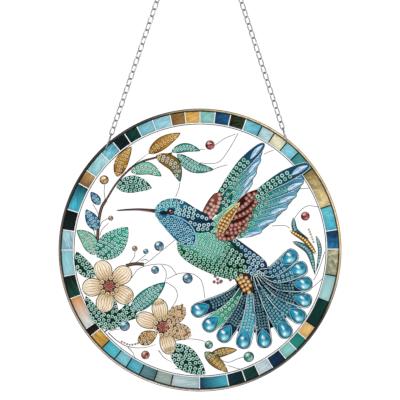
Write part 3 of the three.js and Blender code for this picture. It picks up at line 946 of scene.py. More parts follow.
def build_coverts():
    gold = Stroke((13, 10.5), (18, 21), (28, 33.5), 3.6)
    field_piece("gold_coverts", "gold_stones", [gold], 1.04, plain_ground("6e4a1c", "a87a34"), [
        small("c88c34", "bc8430", radius=1.25, pitch=2.5, glint=0.2, table=paint("f0cc84")),
    ], "coverts_gold", line=paint("e8d6a8"))
    russet = [
        Stroke((24, 27), (33, 36), (41.5, 43), 3.7),
        Stroke((22, 22), (31, 28.5), (40, 35), 4, "petal"),
        Stroke((19, 17), (28, 21.5), (37, 27), 4.2, "petal"),
        Stroke((16, 13), (25, 15), (33.5, 19.5), 4.2, "petal"),
        Stroke((12, 10.5), (19, 10.5), (27, 12.5), 4.2, "oval"),
    ]
    field_piece("russet_coverts", "russet_stones", russet, 1.0, plain_ground("280c0c", "3a1614"), [
        small("98463a", "8a3a2e", radius=1.6, pitch=3.0, edge=4, glint=0.12, table=paint("d49080")),
    ], "coverts_russet", line=paint("c8a07c"), line_width=0.3)


def chest_ground(t, s):
    """Mint on the upper side of the chest, deep green below and towards the tail."""
    lit = clamp((s + 0.5) * 2.4) * clamp((0.72 - t) * 5)
    return mix(paint("042416"), paint("54caa8"), lit)


def build_body():
    chest = Stroke((-15, 6.5), (7, -1.5), (32, -15.5), 13.5, "oval")
    field_piece("body_stones", "green_stones", [chest], 0.56, chest_ground, [
        zone("98e8c4", "8ce0b8", "78cca4", radius=1.5, pitch=3.3, edge=3, glint=0.4),
        zone("98dcb8", "84ccac", low=-0.3, start=0.66, radius=1.5, pitch=3.3, glint=0.5),
        small("b0fce8", "a4f4dc", "94e8cc", low=-0.36, end=0.66, radius=1.05, pitch=2.2),
    ], "bird_body", line=paint("0a2a20"), line_width=0.8)
    neck = Stroke((2, 9), (13, 20.5), (27.5, 34.5), 3.6)
    shoulder = Stroke((-4.9, 4.9), (5.7, 10.6), (17, 21.9), 5.6, "oval")
    mint = plain_ground("4cb08e", "5cc09e")
    field_piece("shoulder_stones", "green_stones", [neck, shoulder], 0.53, mint, [
        small("9ce8c8", "a4eccc", radius=1.05, pitch=2.2),
    ], line=paint("cfe8d8"))
    rump = Stroke((17, 9.5), (30, -2), (47, -12.5), 5.6, "oval")
    tail_root = Stroke((26, -8.5), (36, -13), (45, -17.5), 5.5, "oval")
    navy = plain_ground("124438", "183a58", "1c3458")
    field_piece("rump_stones", "navy_stones", [rump, tail_root], 0.48, navy, [
        zone("a4d8c8", "94c4e8", "9ccaf0", radius=1.5, pitch=3.3, glint=0.6),
    ], "bird_rump")
    flank = Stroke((8, 4), (21, -3.5), (31.5, -14), 8.5, "oval")
    pine = plain_ground("0f3d30", "103c34", "122c3c")
    field_piece("flank_stones", "green_stones", [flank], 0.44, pine, [
        zone("9cd4b4", "9cc8c0", radius=1.45, pitch=3.3, glint=0.6),
    ])
    thigh = Stroke((25.5, -14.5), (31, -22), (35.5, -31.5), 5, "oval")
    field_piece("thigh_stones", "gold_stones", [thigh], 0.8, plain_ground("3a2410", "4a3016"), [
        zone("c88a30", "bc802c", radius=1.5, pitch=2.95, glint=0.2, table=paint("f4c878")),
    ], "bird_thigh", line=paint("1b1820"))


# ---------------------------------------------------------------- wings
WING_STONE = 13.5
STONE_INSET = 1.4
GEM_HALF = 0.41
GEM_SAG = 0.5
GEM_RIM = 0.3
FEATHER_SAG = 1.6
WEB_SHARE = 0.985
FRONT_TIPS = [(77.5, 60.5), (73.5, 49), (68.5, 39.5), (62, 31), (54, 22.5), (44, 14)]
BACK_TIPS = [(45.5, 75.5), (43, 65), (40, 56), (37, 48.5)]


def wing_feathers(shoulder, heel, tips, half):
    """Root, tip and half width of each feather, narrower from the shoulder to the heel."""
    shares = [k / (len(tips) - 1) for k in range(len(tips))]
    return [(between(shoulder, heel, share), tip, half * (1 - 0.25 * share))
            for share, tip in zip(shares, tips)]


def lay_web(pile, feathers, height, notch, stops):
    """The vane that fills the gaps between the feathers, notched between their tips."""
    inner, outer = [], []
    for k, (root, tip) in enumerate(feathers):
        inner.append(np.array(root, float))
        outer.append(np.array(tip, float))
        if k < len(feathers) - 1:
            after_root, after_tip = feathers[k + 1]
            inner.append((inner[-1] + np.array(after_root)) / 2)
            halfway = (outer[-1] + np.array(after_tip)) / 2
            pull = inner[-1] - halfway
            outer.append(halfway + pull / np.linalg.norm(pull) * notch)
    inner, outer = (curve(path, 6 * len(path)) * PICTURE_UNIT for path in (inner, outer))
    outer = inner + (outer - inner) * WEB_SHARE
    lay_fan(pile, inner, outer, height, along(stops))
    lay_line(pile, outer, 0.5, 0, height + LINE_RISE, INK)


def gem_tint(t, s, up):
    """Pale blue in the middle as a painted highlight, bluer towards the sides, with dark streaks along its
    sides as painted reflections and a deep blue rim of painted shade on the lower facets.
    """
    pale, blue, deep = paint("d4e8f6"), paint("8cbcdc"), paint("2a607c")
    if up < 0.5:
        return deep
    left_streak = max(0, 1 - abs(s + 0.35) / 0.35) * (0.12 < t < 0.62)
    right_streak = max(0, 1 - abs(s - 0.5) / 0.3) * (0.4 < t < 0.9)
    return mix(mix(pale, blue, abs(s) * 0.8), deep, max(left_streak, right_streak) * 0.95)


def vane_ground(leads, share):
    """Dark along the leading edge and brighter behind; the first feather is darkest."""
    leading = even("062e26", "084438", "0a4850", "10385a", "174e78" if leads else "4890b4")
    trailing = even("0a5040", "1fa890", "2cacb8", "5cb4cc", "7cbcd4")
    weight = 0.05 if leads else min(1, 0.25 + share)
    return lambda t, s: mix(shade(leading, t), shade(trailing, t), weight * (0.75 - 0.25 * s))


def lay_barbs(pile, stroke, height):
    t = np.linspace(0.3, 0.93, 14)
    spot, left = stroke.spine(t)
    for s in (-0.62, -0.3):
        barb = spot + left * (s * stroke.half_at(t))[:, None]
        lay_line(pile, barb, 0.24, height - 0.01, height + 0.02, paint("b8e4e4"))


def lay_gem(pile, gems, ends, half, height, rim):
    """A long cut stone on a plate that shows as its rim, where nothing nearer covers it."""
    gem = leaf(*ends, half, GEM_SAG, "marquise")
    if is_free(gem.spine([0.5])[0][0]):
        lay_plate(pile, leaf(*ends, half + GEM_RIM, GEM_SAG, "marquise"), height + 0.03, rim)
        lay_cut_stone(gems, gem, height, 0.9, gem_tint)


def wing_piece(name, feathers, level, node_name):
    pile, spots, gems = Pile(), [], Pile()
    lay_web(pile, [feather[:2] for feather in feathers], 0.06, -0.9,
            even("0f3f3f", "1f7a7c", "3a94b0", "4a94b8"))
    for k, (root, tip, half) in enumerate(feathers):
        leads = k == 0
        stroke = leaf(root, tip, half, FEATHER_SAG, "feather")
        height = level - k * 2 * PRINT_STEP
        ground = vane_ground(leads, k / (len(feathers) - 1))
        lay_plate(pile, stroke, height, ground)
        for inset, width, code in ((0.12, 0.3, "d6e6e2"), (0.45, 0.36, "0d2530")):
            lay_line(pile, stroke.outline(-inset), width, 0, height + LINE_RISE, paint(code), closed=True)
        reach = math.hypot(tip[0] - root[0], tip[1] - root[1])
        near = (reach - WING_STONE - STONE_INSET) / reach
        ends = [between(root, tip, share) for share in (near, (reach - STONE_INSET) / reach)]
        if leads:
            lay_gem(pile, gems, ends, half * GEM_HALF, height, plain_ground("123a5c", "123456"))
            found = rows(stroke, -0.9, 0.9, 3.7, 1.5, True, start=0.04, end=near - 0.02, gap=0.86)
            found += rows(stroke, -0.1, 0.1, 3.7, 1.5, start=0.02, end=0.24)
            add_stones(spots, found, 1.6, height, even("94dcc8", "a4e4d4"), ground, glint=0.4)
        else:
            lay_barbs(pile, stroke, height)
            ends = [(x + 0.5, z - 0.9) for x, z in ends]
            lay_gem(pile, gems, ends, half * GEM_HALF, height, plain_ground("1c5876", "16405f"))
            found = rows(stroke, -0.1, 0.1, 3.3, 1.25, start=0.04, end=0.46, gap=1.0)
            add_stones(spots, found, 1.3, height, even("9cdcc4", "94dcc8"), ground, glint=0.4)
            found = rows(stroke, -0.85, -0.3, 2.1, 0.8, start=0.2, end=near + 0.1, gap=1.0)
            found += rows(stroke, -0.3, 0.75, 2.1, 0.8, start=0.5, end=near + 0.06, gap=1.0)
            seeds = even("50bca0", "64ccc0", "7cc8dc")
            add_stones(spots, found, 0.8, height, seeds, ground, glint=0.3)
        covered.append(stroke.outline(0.5))
    finish_piece(name + "_stones", "teal_stones", pile, film, node_name, spots=spots)
    finish_piece(name + "_marquises", "teal_stones", gems, crystal)


def build_wings():
    root = Stroke((2.5, 20.5), (8.5, 30), (13.5, 40), 4.7, "oval")
    field_piece("back_wing_root", "russet_stones", [root], 0.5, plain_ground("5c3024", "7c4834"), [
        small("b46050", "a85444", radius=1.6, pitch=2.9, edge=4, glint=0.3, table=paint("e0a898")),
        small("a85444", radius=1.5, pitch=1.4, glint=0.3, table=paint("dca090"), apart=0.86),
    ], "back_wing_root")
    under = Stroke((11, 25.5), (15.5, 32), (21, 42), 4.6, "oval")
    field_piece("back_wing_under", "teal_stones", [under], 0.4, plain_ground("0c4a40", "1a7064"), [
        zone("b4e2d0", "a8dcd4", radius=1.35, pitch=3.2),
    ])
    wing_piece("front_wing", wing_feathers((33, 34.5), (27, 9), FRONT_TIPS, 5), 0.9, "front_wing")
    wing_piece("back_wing", wing_feathers((13, 39), (20, 28), BACK_TIPS, 4.4), 0.45, "back_wing")


# ---------------------------------------------------------------- tail
TAIL_CENTRE = (40, -25)
TAIL_ROOT = (42, -14)
LAST_TAIL_ROOT = (33, -19)
TAIL_ANGLES = (40, 21, 2, -17, -36, -58, -82, -103, -123, -140, -157)
TAIL_REACH = (37, 50)
TAIL_WAIST = 0.42
WEB_SHORT = 8
TAIL_GROUNDS = ("blue", "blue", "navy", "navy", "teal", "teal", "navy", "pale", "navy", "mint", "navy")
TAIL_TINTS = {
    "navy": (even("0c0c18", "06101c", "081e30", "144460"), even("2c5468", "4c98b0", "7cc8d8"), 0.8),
    "blue": (even("0c1018", "0c2a3e", "145a74", "1c7894"), even("94bcdc", "98d0e8", "90d4e8"), 1.3),
    "teal": (even("0c0c18", "0c2c40", "105c74", "187c94"), even("4c7c90", "74ccdc", "a0ecf4"), 0.9),
    "pale": (even("14203a", "227c9a", "3ca4bc", "2080a8"), even("9cdfec", "c4f8fc", "b8f2fc"), 0.9),
    "mint": (even("10101c", "1a5a4c", "48a484", "38a894"), even("6c9c94", "acf4d0", "d4fcec"), 1.35),
}


def drop_tint(t, s, up, aim):
    """Sky blue with painted light: darker at the edges, the round end and the lower facets as painted
    shade, a painted cyan glow and a painted dark reflection inside, and painted highlights, windows of
    light, on the side towards the lamp.
    """
    sky, cyan, deep, glow = paint("1e92b2"), paint("9cecf6"), paint("052c42"), paint("fbfeff")
    if up < 0.6:
        return deep
    lengthwise, sideways = (t - 0.6) * 2, -s * 0.8
    x, z = polar(lengthwise, aim)
    x -= sideways * math.sin(math.radians(aim))
    z += sideways * math.cos(math.radians(aim))
    body = mix(sky, deep, min(1, abs(s) ** 4 + max(0, t - 0.85) * 4))
    body = mix(body, cyan, max(0, 1 - math.hypot(x - 0.1, z + 0.35) / 0.55))
    body = mix(body, deep, 0.85 * max(0, 1 - math.hypot(x - 0.3, z - 0.1) / 0.38))
    upper = max(0, 1 - math.hypot((x - z + 0.5) / 2.2, x + z - 0.1) / 0.2)
    lower = max(0, 1 - math.hypot(x + 0.1, (z + 0.4) / 1.4) / 0.15)
    return mix(body, glow, min(1, 2.6 * max(upper, lower)))


def tail_drop(k, angle, tip):
    """Places one drop at the end of its feather, as a piece of its own, and returns its shape."""
    start, end = (polar(-run, angle, tip) for run in (DROP_LENGTH + DROP_BORDER, DROP_BORDER))
    drop = leaf(start, end, DROP_HALF, 0, "tear")
    gem = Pile()
    lay_cut_stone(gem, drop, 0.72, 1.5, lambda t, s, up: drop_tint(t, s, up, angle), steps=26)
    finish_piece(f"tail_drop_{k + 1}", "sky_drops", gem, crystal, f"tail_drop_{k + 1}")
    return drop


def build_tail():
    pile, spots = Pile(), []
    shares = [k / (len(TAIL_ANGLES) - 1) for k in range(len(TAIL_ANGLES))]
    roots = [between(TAIL_ROOT, LAST_TAIL_ROOT, share) for share in shares]
    reaches = [TAIL_REACH[0] + (TAIL_REACH[1] - TAIL_REACH[0]) * share for share in shares]
    web = [(root, polar(reach - WEB_SHORT, angle, TAIL_CENTRE))
           for root, reach, angle in zip(roots, reaches, TAIL_ANGLES)]
    lay_web(pile, web, 0.05, 3, even("15182a", "15243a", "173a50"))
    for k, (root, reach, angle) in enumerate(zip(roots, reaches, TAIL_ANGLES)):
        tip = polar(reach, angle, TAIL_CENTRE)
        waist = polar(reach * TAIL_WAIST, angle, TAIL_CENTRE)
        stroke = Stroke(root, waist, tip, DROP_HALF + DROP_BORDER, "vane")
        drop = tail_drop(k, angle, tip)
        grounds, beads, radius = TAIL_TINTS[TAIL_GROUNDS[k]]
        ground = along(grounds)
        height = 0.7 - k * 2 * PRINT_STEP
        lay_plate(pile, stroke, height, ground)
        for inset, code in ((0.08, "0a1a28"), (0.46, "e0f0f4")):
            lay_line(pile, stroke.outline(-inset), 0.4, 0, height + LINE_RISE, paint(code), closed=True)
        lay_line(pile, drop.outline(0.42), 0.26, 0, 0.76, paint("a8ccd8"), closed=True)
        found = rows(stroke, -0.8, 0.8, radius * 2.4, radius, start=0.12, end=0.72, gap=1.0)
        add_stones(spots, found, radius, height, beads, ground, glint=0.3)
        covered.append(stroke.outline(0.3))
    finish_piece("tail_feathers", "navy_stones", pile, film, "tail_fan", spots=spots)


# ---------------------------------------------------------------- blossoms
PETALS = 5
LINED_BEFORE = 0.7
PETAL_BEAD = 1.4
HEART_HALF = 5
HEART_RINGS = [
    # distance from the middle, number of stones, radius, tint
    (0.0, 1, 1.4, "b8685c"), (2.7, 6, 1.4, "c07468"), (5.7, 10, 1.55, "f4dcb0"),
]


def build_blossom(name, centre, first, turn, reach, half, beaded):
    """A blossom of five petals about a beaded heart; some petals carry stones from a share on."""
    pile, spots = Pile(), []
    cream = even("7a4c2c", "e2c69c", "f8ead0", "f6e6c6")
    bead_ground = even("5c3418", "7c5028", "946a3a", "a0764a")
    for k in range(PETALS):
        root = polar(2.5, first + turn * k, centre)
        tip = polar(reach, first + turn * k, centre)
        petal = leaf(root, tip, half, 0, "petal")
        height = 0.5 - k * PRINT_STEP
        lined = beaded.get(k, 1) < LINED_BEFORE
        lay_plate(pile, petal, height, along(bead_ground if lined else cream), dome=0.35)
        lay_line(pile, petal.outline(-0.05), 0.6, 0, height + 0.05, paint("3a2818"), closed=True)
        if k in beaded:
            found = rows(petal, -1, 1, 2.7, PETAL_BEAD, start=beaded[k])
            if lined:
                sides = [edge_rows(petal, 2, 2.75, PETAL_BEAD, side) for side in (-1, 1)]
                found = sides[0] + sides[1] + found
            add_stones(spots, found, PETAL_BEAD, height + 0.1, even("dcb884", "e8cc9c"),
                       plain_ground("8a5c30"), glint=0.3, table=paint("b48850"))
        covered.append(petal.outline(0.4))
    heart = (centre[0] * PICTURE_UNIT, centre[1] * PICTURE_UNIT)
    disc = leaf((centre[0] - HEART_HALF, centre[1]), (centre[0] + HEART_HALF, centre[1]),
                HEART_HALF, 0, "oval")
    lay_plate(pile, disc, 0.9, plain_ground("2c1210"))
    for away, many, radius, code in HEART_RINGS:
        for i in range(many):
            x, z = polar(away, 360 * i / many + 20 * away, heart)
            # A random painted shade on each stone, and its table darkened as painted shade.
            tint = mix(paint(code), INK, chance.uniform(0, 0.2))
            core = mix(paint(code), paint("3a1414"), 0.8)
            spots.append((place(x, z, 0.95), radius, (0, chance.uniform(0, 3), 0), tint, core))
    finish_piece(name, "cream_petals", pile, enamel, name, spots=spots)


# ---------------------------------------------------------------- leaves
GOLD = (even("5c3008", "b07820", "d09c3c"), even("e8b048", "fccc6c", "fcdc90"))
TWO_TONE = (even("2a6850", "8c6424", "d09c3c"), even("a8e0c0", "f0c870", "fcd480", "fcdc90"))
AMBER = (even("8a5a20", "7a6028", "1f6e60"), even("f6d488", "dcc07c", "8cd8c0"))
SAGE = (even("44907a", "84ccae", "58ac88"), even("dcfce8", "d4f8e0", "b8ecd0"))
PINE = (even("0a3a2e", "0f5848"), even("a4e4d0", "9ce0cc"))
AQUA = (even("1a6c66", "2a948a", "1a7870"), even("bcf4e8", "c4faee"))
JADE = (even("0a5046", "2cac92"), even("b8f8ec", "a0fce4"))
BLUE = (even("104470", "2068a0"), even("80c8ec", "98d8f4"))
DARK_LEAF = (even("05261c", "083c2e"), even("b0e6d0", "a0dec4"))

LEAVES = [
    ("gold_leaf_left", "gold_stones", GOLD, [((-58.7, 52.3), (-48.8, 73), 4.6, 1.5)], 1.2),
    ("gold_leaf_top", "gold_stones", GOLD, [((-36, 68.6), (-14.1, 82.7), 4.3, 1)], 1.2),
    ("amber_leaf", "amber_stones", AMBER, [((-31, 66.5), (-14.1, 48.5), 4.8, 5)], 1.35),
    ("sage_leaf", "sage_stones", SAGE, [((-48.5, 55.5), (-27.5, 52.5), 4.4, 4)], 1.3),
    ("green_leaf", "green_stones", PINE, [((-58.5, 44.5), (-34.5, 44), 6, 2.5)], 1.4),
    ("aqua_leaf_upper", "aqua_stones", AQUA, [((-19.8, 69.8), (0, 70.5), 3.1, 2.5)], 1.0),
    ("aqua_leaf_lower", "aqua_stones", AQUA, [((-16, 67.5), (9.5, 57), 4.2, -3.5)], 0.95),
    ("blue_bud", "blue_stones", BLUE, [((-72.7, 14.5), (-80.6, 28.5), 4.4, 0)], 1.1),
    ("blue_bud_upper", "blue_stones", BLUE, [((-71.2, 32.3), (-77.2, 41), 3, 0)], 1.1),
    ("jade_leaf", "green_stones", JADE, [((-72.6, -4.5), (-51.3, 15.8), 9, -1)], 1.2),
    ("pale_leaf", "sage_stones", SAGE, [((-74.8, -3.2), (-87, 13.8), 5.4, -2.5)], 1.0),
    ("beaded_leaf_left", "green_stones", DARK_LEAF, [((-75.5, -18.8), (-87.4, -1.5), 5.2, 2)], 1.5),
    ("teal_leaf", "aqua_stones", AQUA, [((-49, -43.2), (-24.8, -23.2), 5.8, 0)], 1.1),
    ("fern", "green_stones", DARK_LEAF,
     [((-65.8, -56), (-80.8, -33), 4.2, 1.5), ((-65.8, -56), (-50.5, -37), 3.8, -2.5)], 1.35),
    ("pine_leaf", "green_stones", DARK_LEAF, [((-19.5, -67.8), (3.5, -87.6), 8.2, -1)], 1.5),
    ("bottom_sprig", "gold_stones", TWO_TONE,
     [((3.5, -72.5), (19.5, -86.3), 4, 0), ((7, -75.4), (26, -70.8), 3.2, 1)], 1.15),
    ("gold_bud", "amber_stones", GOLD, [((-43.5, -65.3), (-30.5, -58.5), 5, 0)], 1.2),
]

FERN_FILL = [
    ((-67, -56), (-71, -35), 5, 0), ((-66, -56.5), (-60, -36), 5, 0), ((-64, -54), (-42, -40), 5, 1),
    ((-60, -50.8), (-42.5, -46.8), 2.6, 1.2),
]


def build_leaves():
    for name, slot, (ground, beads), strokes, radius in LEAVES:
        middle_rows = {"stops": beads, "low": -1, "high": 1, "pitch": radius * 2.25, "radius": radius,
                       "glint": 0.12 if slot == "gold_stones" else GLINT}
        zones = [middle_rows]
        if slot == "green_stones":
            zones = [{**middle_rows, "edge": 2, "sides": (-1, 1)}, middle_rows,
                     {**middle_rows, "pitch": radius * 0.9, "apart": 0.9}]
        if name == "fern":
            strokes = strokes + FERN_FILL
        field_piece(name + "_stones", slot, [leaf(*stroke) for stroke in strokes], 0.4,
                    along(ground), zones, name,
                    line=mix(ground[0][1], INK, 0.8), vein=mix(beads[-1][1], WHITE, 0.35))


BRIGHT_GOLD = (even("6c4814", "8c6420"), even("f4c048", "fccc5c"), paint("ffe488"))
SEA = (even("124438", "2c6c7c", "1c5c44"), even("b0f0d8", "bcecf4", "b8f0d0"), None)
SPRIG = [
    (Stroke((64.1, 13.6), (74, 7.4), (82, -2.8), 1.9, "oval"), BRIGHT_GOLD),
    (Stroke((66.3, 23), (67.6, 14.2), (77, 7.8), 1.8), SEA),
    (Stroke((65.8, 6), (77, -1), (81.6, -17.6), 2.3), SEA),
    (Stroke((82.3, 10), (85, -0.5), (82.4, -15), 1.4), SEA),
]


def build_right_sprig():
    """A gold spray between green ones, on the right."""
    pile, spots = Pile(), []
    for stroke, (ground, beads, table) in SPRIG:
        seeds = {"stops": beads, "low": -1, "high": 1, "pitch": 1.9, "radius": 0.9, "glint": 0.2,
                 "table": table}
        lay_field(pile, spots, [stroke], 0.4, along(ground), [seeds],
                  line=mix(ground[0][1], INK, 0.4), line_width=0.3)
    finish_piece("right_sprig_stones", "amber_stones", pile, film, "right_sprig", spots=spots)


# ---------------------------------------------------------------- berries
# Dark, body and pale of each stone: dark is its painted shade at the girdle, pale its painted highlights
# and glints.
BERRY_TINTS = {
    "red": ("24020a", "a01020", "f8b8b0"), "ochre": ("3c220c", "b47c34", "fff0c8"),
    "blue": ("082838", "2c84a8", "e8f8fc"), "teal": ("08302e", "3a9a8c", "e0fcf2"),
    "brown": ("240804", "903420", "ffccb8"), "tan": ("3c241a", "a87458", "f6dcc8"),
}
BERRIES = [
    ("red_berry_top", "red_stones", "red", 7.1, 74.4, 3.4),
    ("red_berry_right", "red_stones", "red", 74.6, 24, 3.2),
    ("ochre_berry", "amber_stones", "ochre", -67.9, 49.7, 3.3),
    ("blue_berry_throat", "blue_stones", "blue", -29, 2.8, 3.5),
    ("blue_berry_mid", "blue_stones", "blue", -31.8, -14.1, 2.9),
    ("blue_berry_low", "blue_stones", "blue", -8.8, -20.2, 3.7),
    ("teal_berry_left", "blue_stones", "blue", -53.4, -53.7, 3.8),
    ("teal_berry_right", "teal_stones", "teal", 34.6, -75.7, 3.8),
]
SMALL_BERRIES = [
    ("tan", -63.1, 22.5, 1.9), ("tan", -46.1, 1.1, 2.0), ("blue", -38.3, -1, 2.0),
    ("brown", -38.6, -74.2, 3.1), ("teal", 6.2, -67, 3.0), ("tan", -12.7, -38.9, 1.0),
    ("tan", -11.7, -42.4, 1.0),
]


def build_berries():
    for name, slot, hue, x, z, radius in BERRIES:
        pile = Pile()
        tints = [paint(code) for code in BERRY_TINTS[hue]]
        lay_round_stone(pile, x * PICTURE_UNIT, z * PICTURE_UNIT, radius * PICTURE_UNIT, 0, 2, tints)
        finish_piece(name + "_stone", slot, pile, crystal, name)
    pile = Pile()
    for hue, x, z, radius in SMALL_BERRIES:
        tints = [paint(code) for code in BERRY_TINTS[hue]]
        lay_round_stone(pile, x, z, radius, 0, 1.2, tints, sides=10)
    finish_piece("small_berries", "amber_stones", pile, crystal)


# ---------------------------------------------------------------- printed stems
def curve(points, count=None):
    """A smooth path through points."""
    knots = [np.array(p, float) for p in points]
    ends = [2 * knots[0] - knots[1]] + knots + [2 * knots[-1] - knots[-2]]
    steps = 6 if count is None else max(2, count // (len(points) - 1))
    path = []
    for k in range(1, len(ends) - 2):
        a, b, c, d = ends[k - 1:k + 3]
        for i in range(steps):
            w = i / steps
            path.append(0.5 * (2 * b + (c - a) * w + (2 * a - 5 * b + 4 * c - d) * w ** 2
                               + (3 * b - a - 3 * c + d) * w ** 3))
    path.append(knots[-1])
    return np.array(path)


STEMS = [
    (2.2, [(-72.7, -0.7), (-72.4, 12), (-71.5, 22), (-69.7, 30), (-66.5, 35.5)]),
    (1.5, [(-66.5, 35.5), (-59.4, 46.9), (-51.2, 55.9), (-42.2, 62.2), (-31.8, 65.4), (-19.8, 68.6)]),
    (0.6, [(-51.2, 56.8), (-43, 63.5), (-36.3, 68.6)]),
    (0.7, [(-39.8, -11.1), (-46, -9.8), (-52.6, -11.1)]),
    (2.4, [(-52.6, -11.1), (-46, -9.8), (-39.6, -10.2)]),
    (0.7, [(-52.6, -11.1), (-52.1, -14.7), (-49, -19.5)]),
    (0.9, [(-67.5, -58), (-60.2, -52.1), (-52.5, -46), (-44, -43.5)]),
    (0.8, [(-67.4, -57.9), (-56.6, -51), (-46, -47.6), (-36, -46.5)]),
    (0.7, [(-65.2, -58.4), (-59.4, -63.8), (-51.2, -68.4), (-40.4, -69.3), (-31.4, -67)]),
    (0.6, [(-51.2, -68.8), (-47.6, -72.8), (-45.8, -77.3)]),
    (0.6, [(-29.5, -71), (-25.1, -76.5), (-19.7, -79.6)]),
]
TENDRILS = [
    [(-67.6, 46.2), (-67.9, 41), (-67.2, 36)],
    [(-76, 32.5), (-72.8, 27.2), (-71.2, 22)],
    [(-76, 15.6), (-73.7, 8.5), (-72.7, 3)],
    [(-65.2, 22.3), (-69.3, 20), (-71.1, 16)],
    [(-64.8, 19.1), (-69.3, 14.6), (-71, 10.1)],
    [(-50.3, -9.8), (-46.7, -5.2), (-46, -0.7)],
    [(-46.7, -9.8), (-42, -6.3), (-38.6, -3.4)],
    [(-42.2, -7.8), (-38.6, -6.6), (-36.8, -7.5)],
    [(-39.6, -10.2), (-35, -7.1), (-25.1, 1.1), (-17.9, 6.9)],
    [(-48.5, -19.7), (-44, -13.8), (-37.7, -11.1), (-28.7, -10), (-21.5, -11.5), (-16.5, -17.4)],
    [(-27.3, -10.6), (-24.2, -15.1), (-24.2, -20.5), (-25.5, -23.3)],
    [(-24.2, -22.8), (-17.9, -26.9), (-16, -32.3), (-17.9, -37.7), (-20.6, -41.3)],
    [(-23.3, -20.5), (-17, -17.4), (-12.4, -16.3), (-5.2, -17), (0, -20.5), (2.3, -25.9), (3.4, -34.1)],
    [(10.8, 74.4), (18, 79.3), (25.2, 82.1)],
    [(27.1, 82.9), (21.6, 73), (14.4, 63.1), (7.2, 61.2), (0, 61.8)],
    [(9.9, 57.3), (13.4, 58.7), (19.4, 60.4)],
    [(0, 71.4), (3.5, 71.4)],
    [(-14.1, 47.8), (-15.2, 43), (-17.3, 37.5)],
    [(45.1, 67.7), (48.8, 69.6), (52.3, 70.8)],
    [(70.4, 43.3), (76.6, 43.8), (78, 44)],
    [(84.3, 30.4), (76.6, 31.3), (71.3, 28.1), (67.2, 22.7), (65.8, 18.4)],
    [(50.9, 17), (55.9, 17.3), (61.3, 17), (63.5, 15.2)],
    [(88.5, -1), (85.5, -10.6), (82, -18.7), (80.2, -21.5)],
    [(86.5, -20.5), (82, -24.6), (79.3, -26.9)],
    [(13.4, -77.3), (19.8, -79.6), (26.2, -77.3), (31.1, -75.7)],
    [(19.8, -81.9), (29.7, -84.6), (37, -83.2)],
    [(-18, -64.3), (-8, -63), (0, -63.8), (3.5, -65)],
    [(-17.7, -84), (-8, -85), (0, -87.5)],
    [(-64.5, -57.6), (-60, -56.4), (-57, -56)],
]


WIDE_STEM = 1


def build_stems():
    """Stems with a lighter middle, tendrils, and the ring just inside the tiles."""
    pile = Pile()
    for width, points in STEMS:
        path = curve(points) * PICTURE_UNIT
        lay_line(pile, path, width, 0, 0.16, paint("32251f"), taper=width < 1.5)
        if width > WIDE_STEM:
            lay_line(pile, path, width * 0.3, 0.1, 0.2, paint("74564a"))
    for points in TENDRILS:
        lay_line(pile, curve(points) * PICTURE_UNIT, 0.42, 0, 0.12, paint("2c2626"))
    lay_line(pile, circle(PICTURE_RADIUS - 0.75, 160), 0.55, 0, 0.12, INK, closed=True)
    finish_piece("printed_stems", "dark_enamel", pile, film)


SPRAYS = [
    # the bird's feet, the wisp on the right and the sprays between the leaves
    ("94544a", 1.2, [(9.5, -17), (12.4, -20.5), (16, -24.3)]),
    ("94544a", 1.2, [(9.9, -22.5), (12.6, -23.3), (15.2, -22)]),
    ("94544a", 1.2, [(17, -17.7), (19.4, -19.8), (22, -21.5)]),
    ("c8a070", 0.8, [(77, 14.8), (79.2, 9.2), (80.9, 4.5)]),
    ("b57a5c", 0.8, [(-55.7, -64.8), (-49.5, -67.2), (-42.8, -65.8)]),
    ("6fb79a", 1.35, [(-56.5, -48.5), (-47, -46), (-39, -46.2)]),
]


def build_small_beads():
    """Single rows of round stones straight on the panel."""
    spots = []
    for code, radius, points in SPRAYS:
        path = curve(points, 40) * PICTURE_UNIT
        due = 0.0
        for before, after in zip(path, path[1:]):
            due -= math.hypot(*(after - before))
            if due <= 0 and is_free(after):
                # White mixed in at random as a painted glint; the table darkened as painted shade.
                tint = mix(paint(code), WHITE, chance.uniform(0, 0.35))
                core = mix(paint(code), BLACK, 0.6)
                turn = (0, chance.uniform(0, 3), 0)
                spots.append((place(*after, -SUNK), radius, turn, tint, core))
                due = radius * 2.2
    base = bpy.data.meshes.new("loose_sprays")
    settle(with_copies(base, spots, stone, resin), "russet_stones")


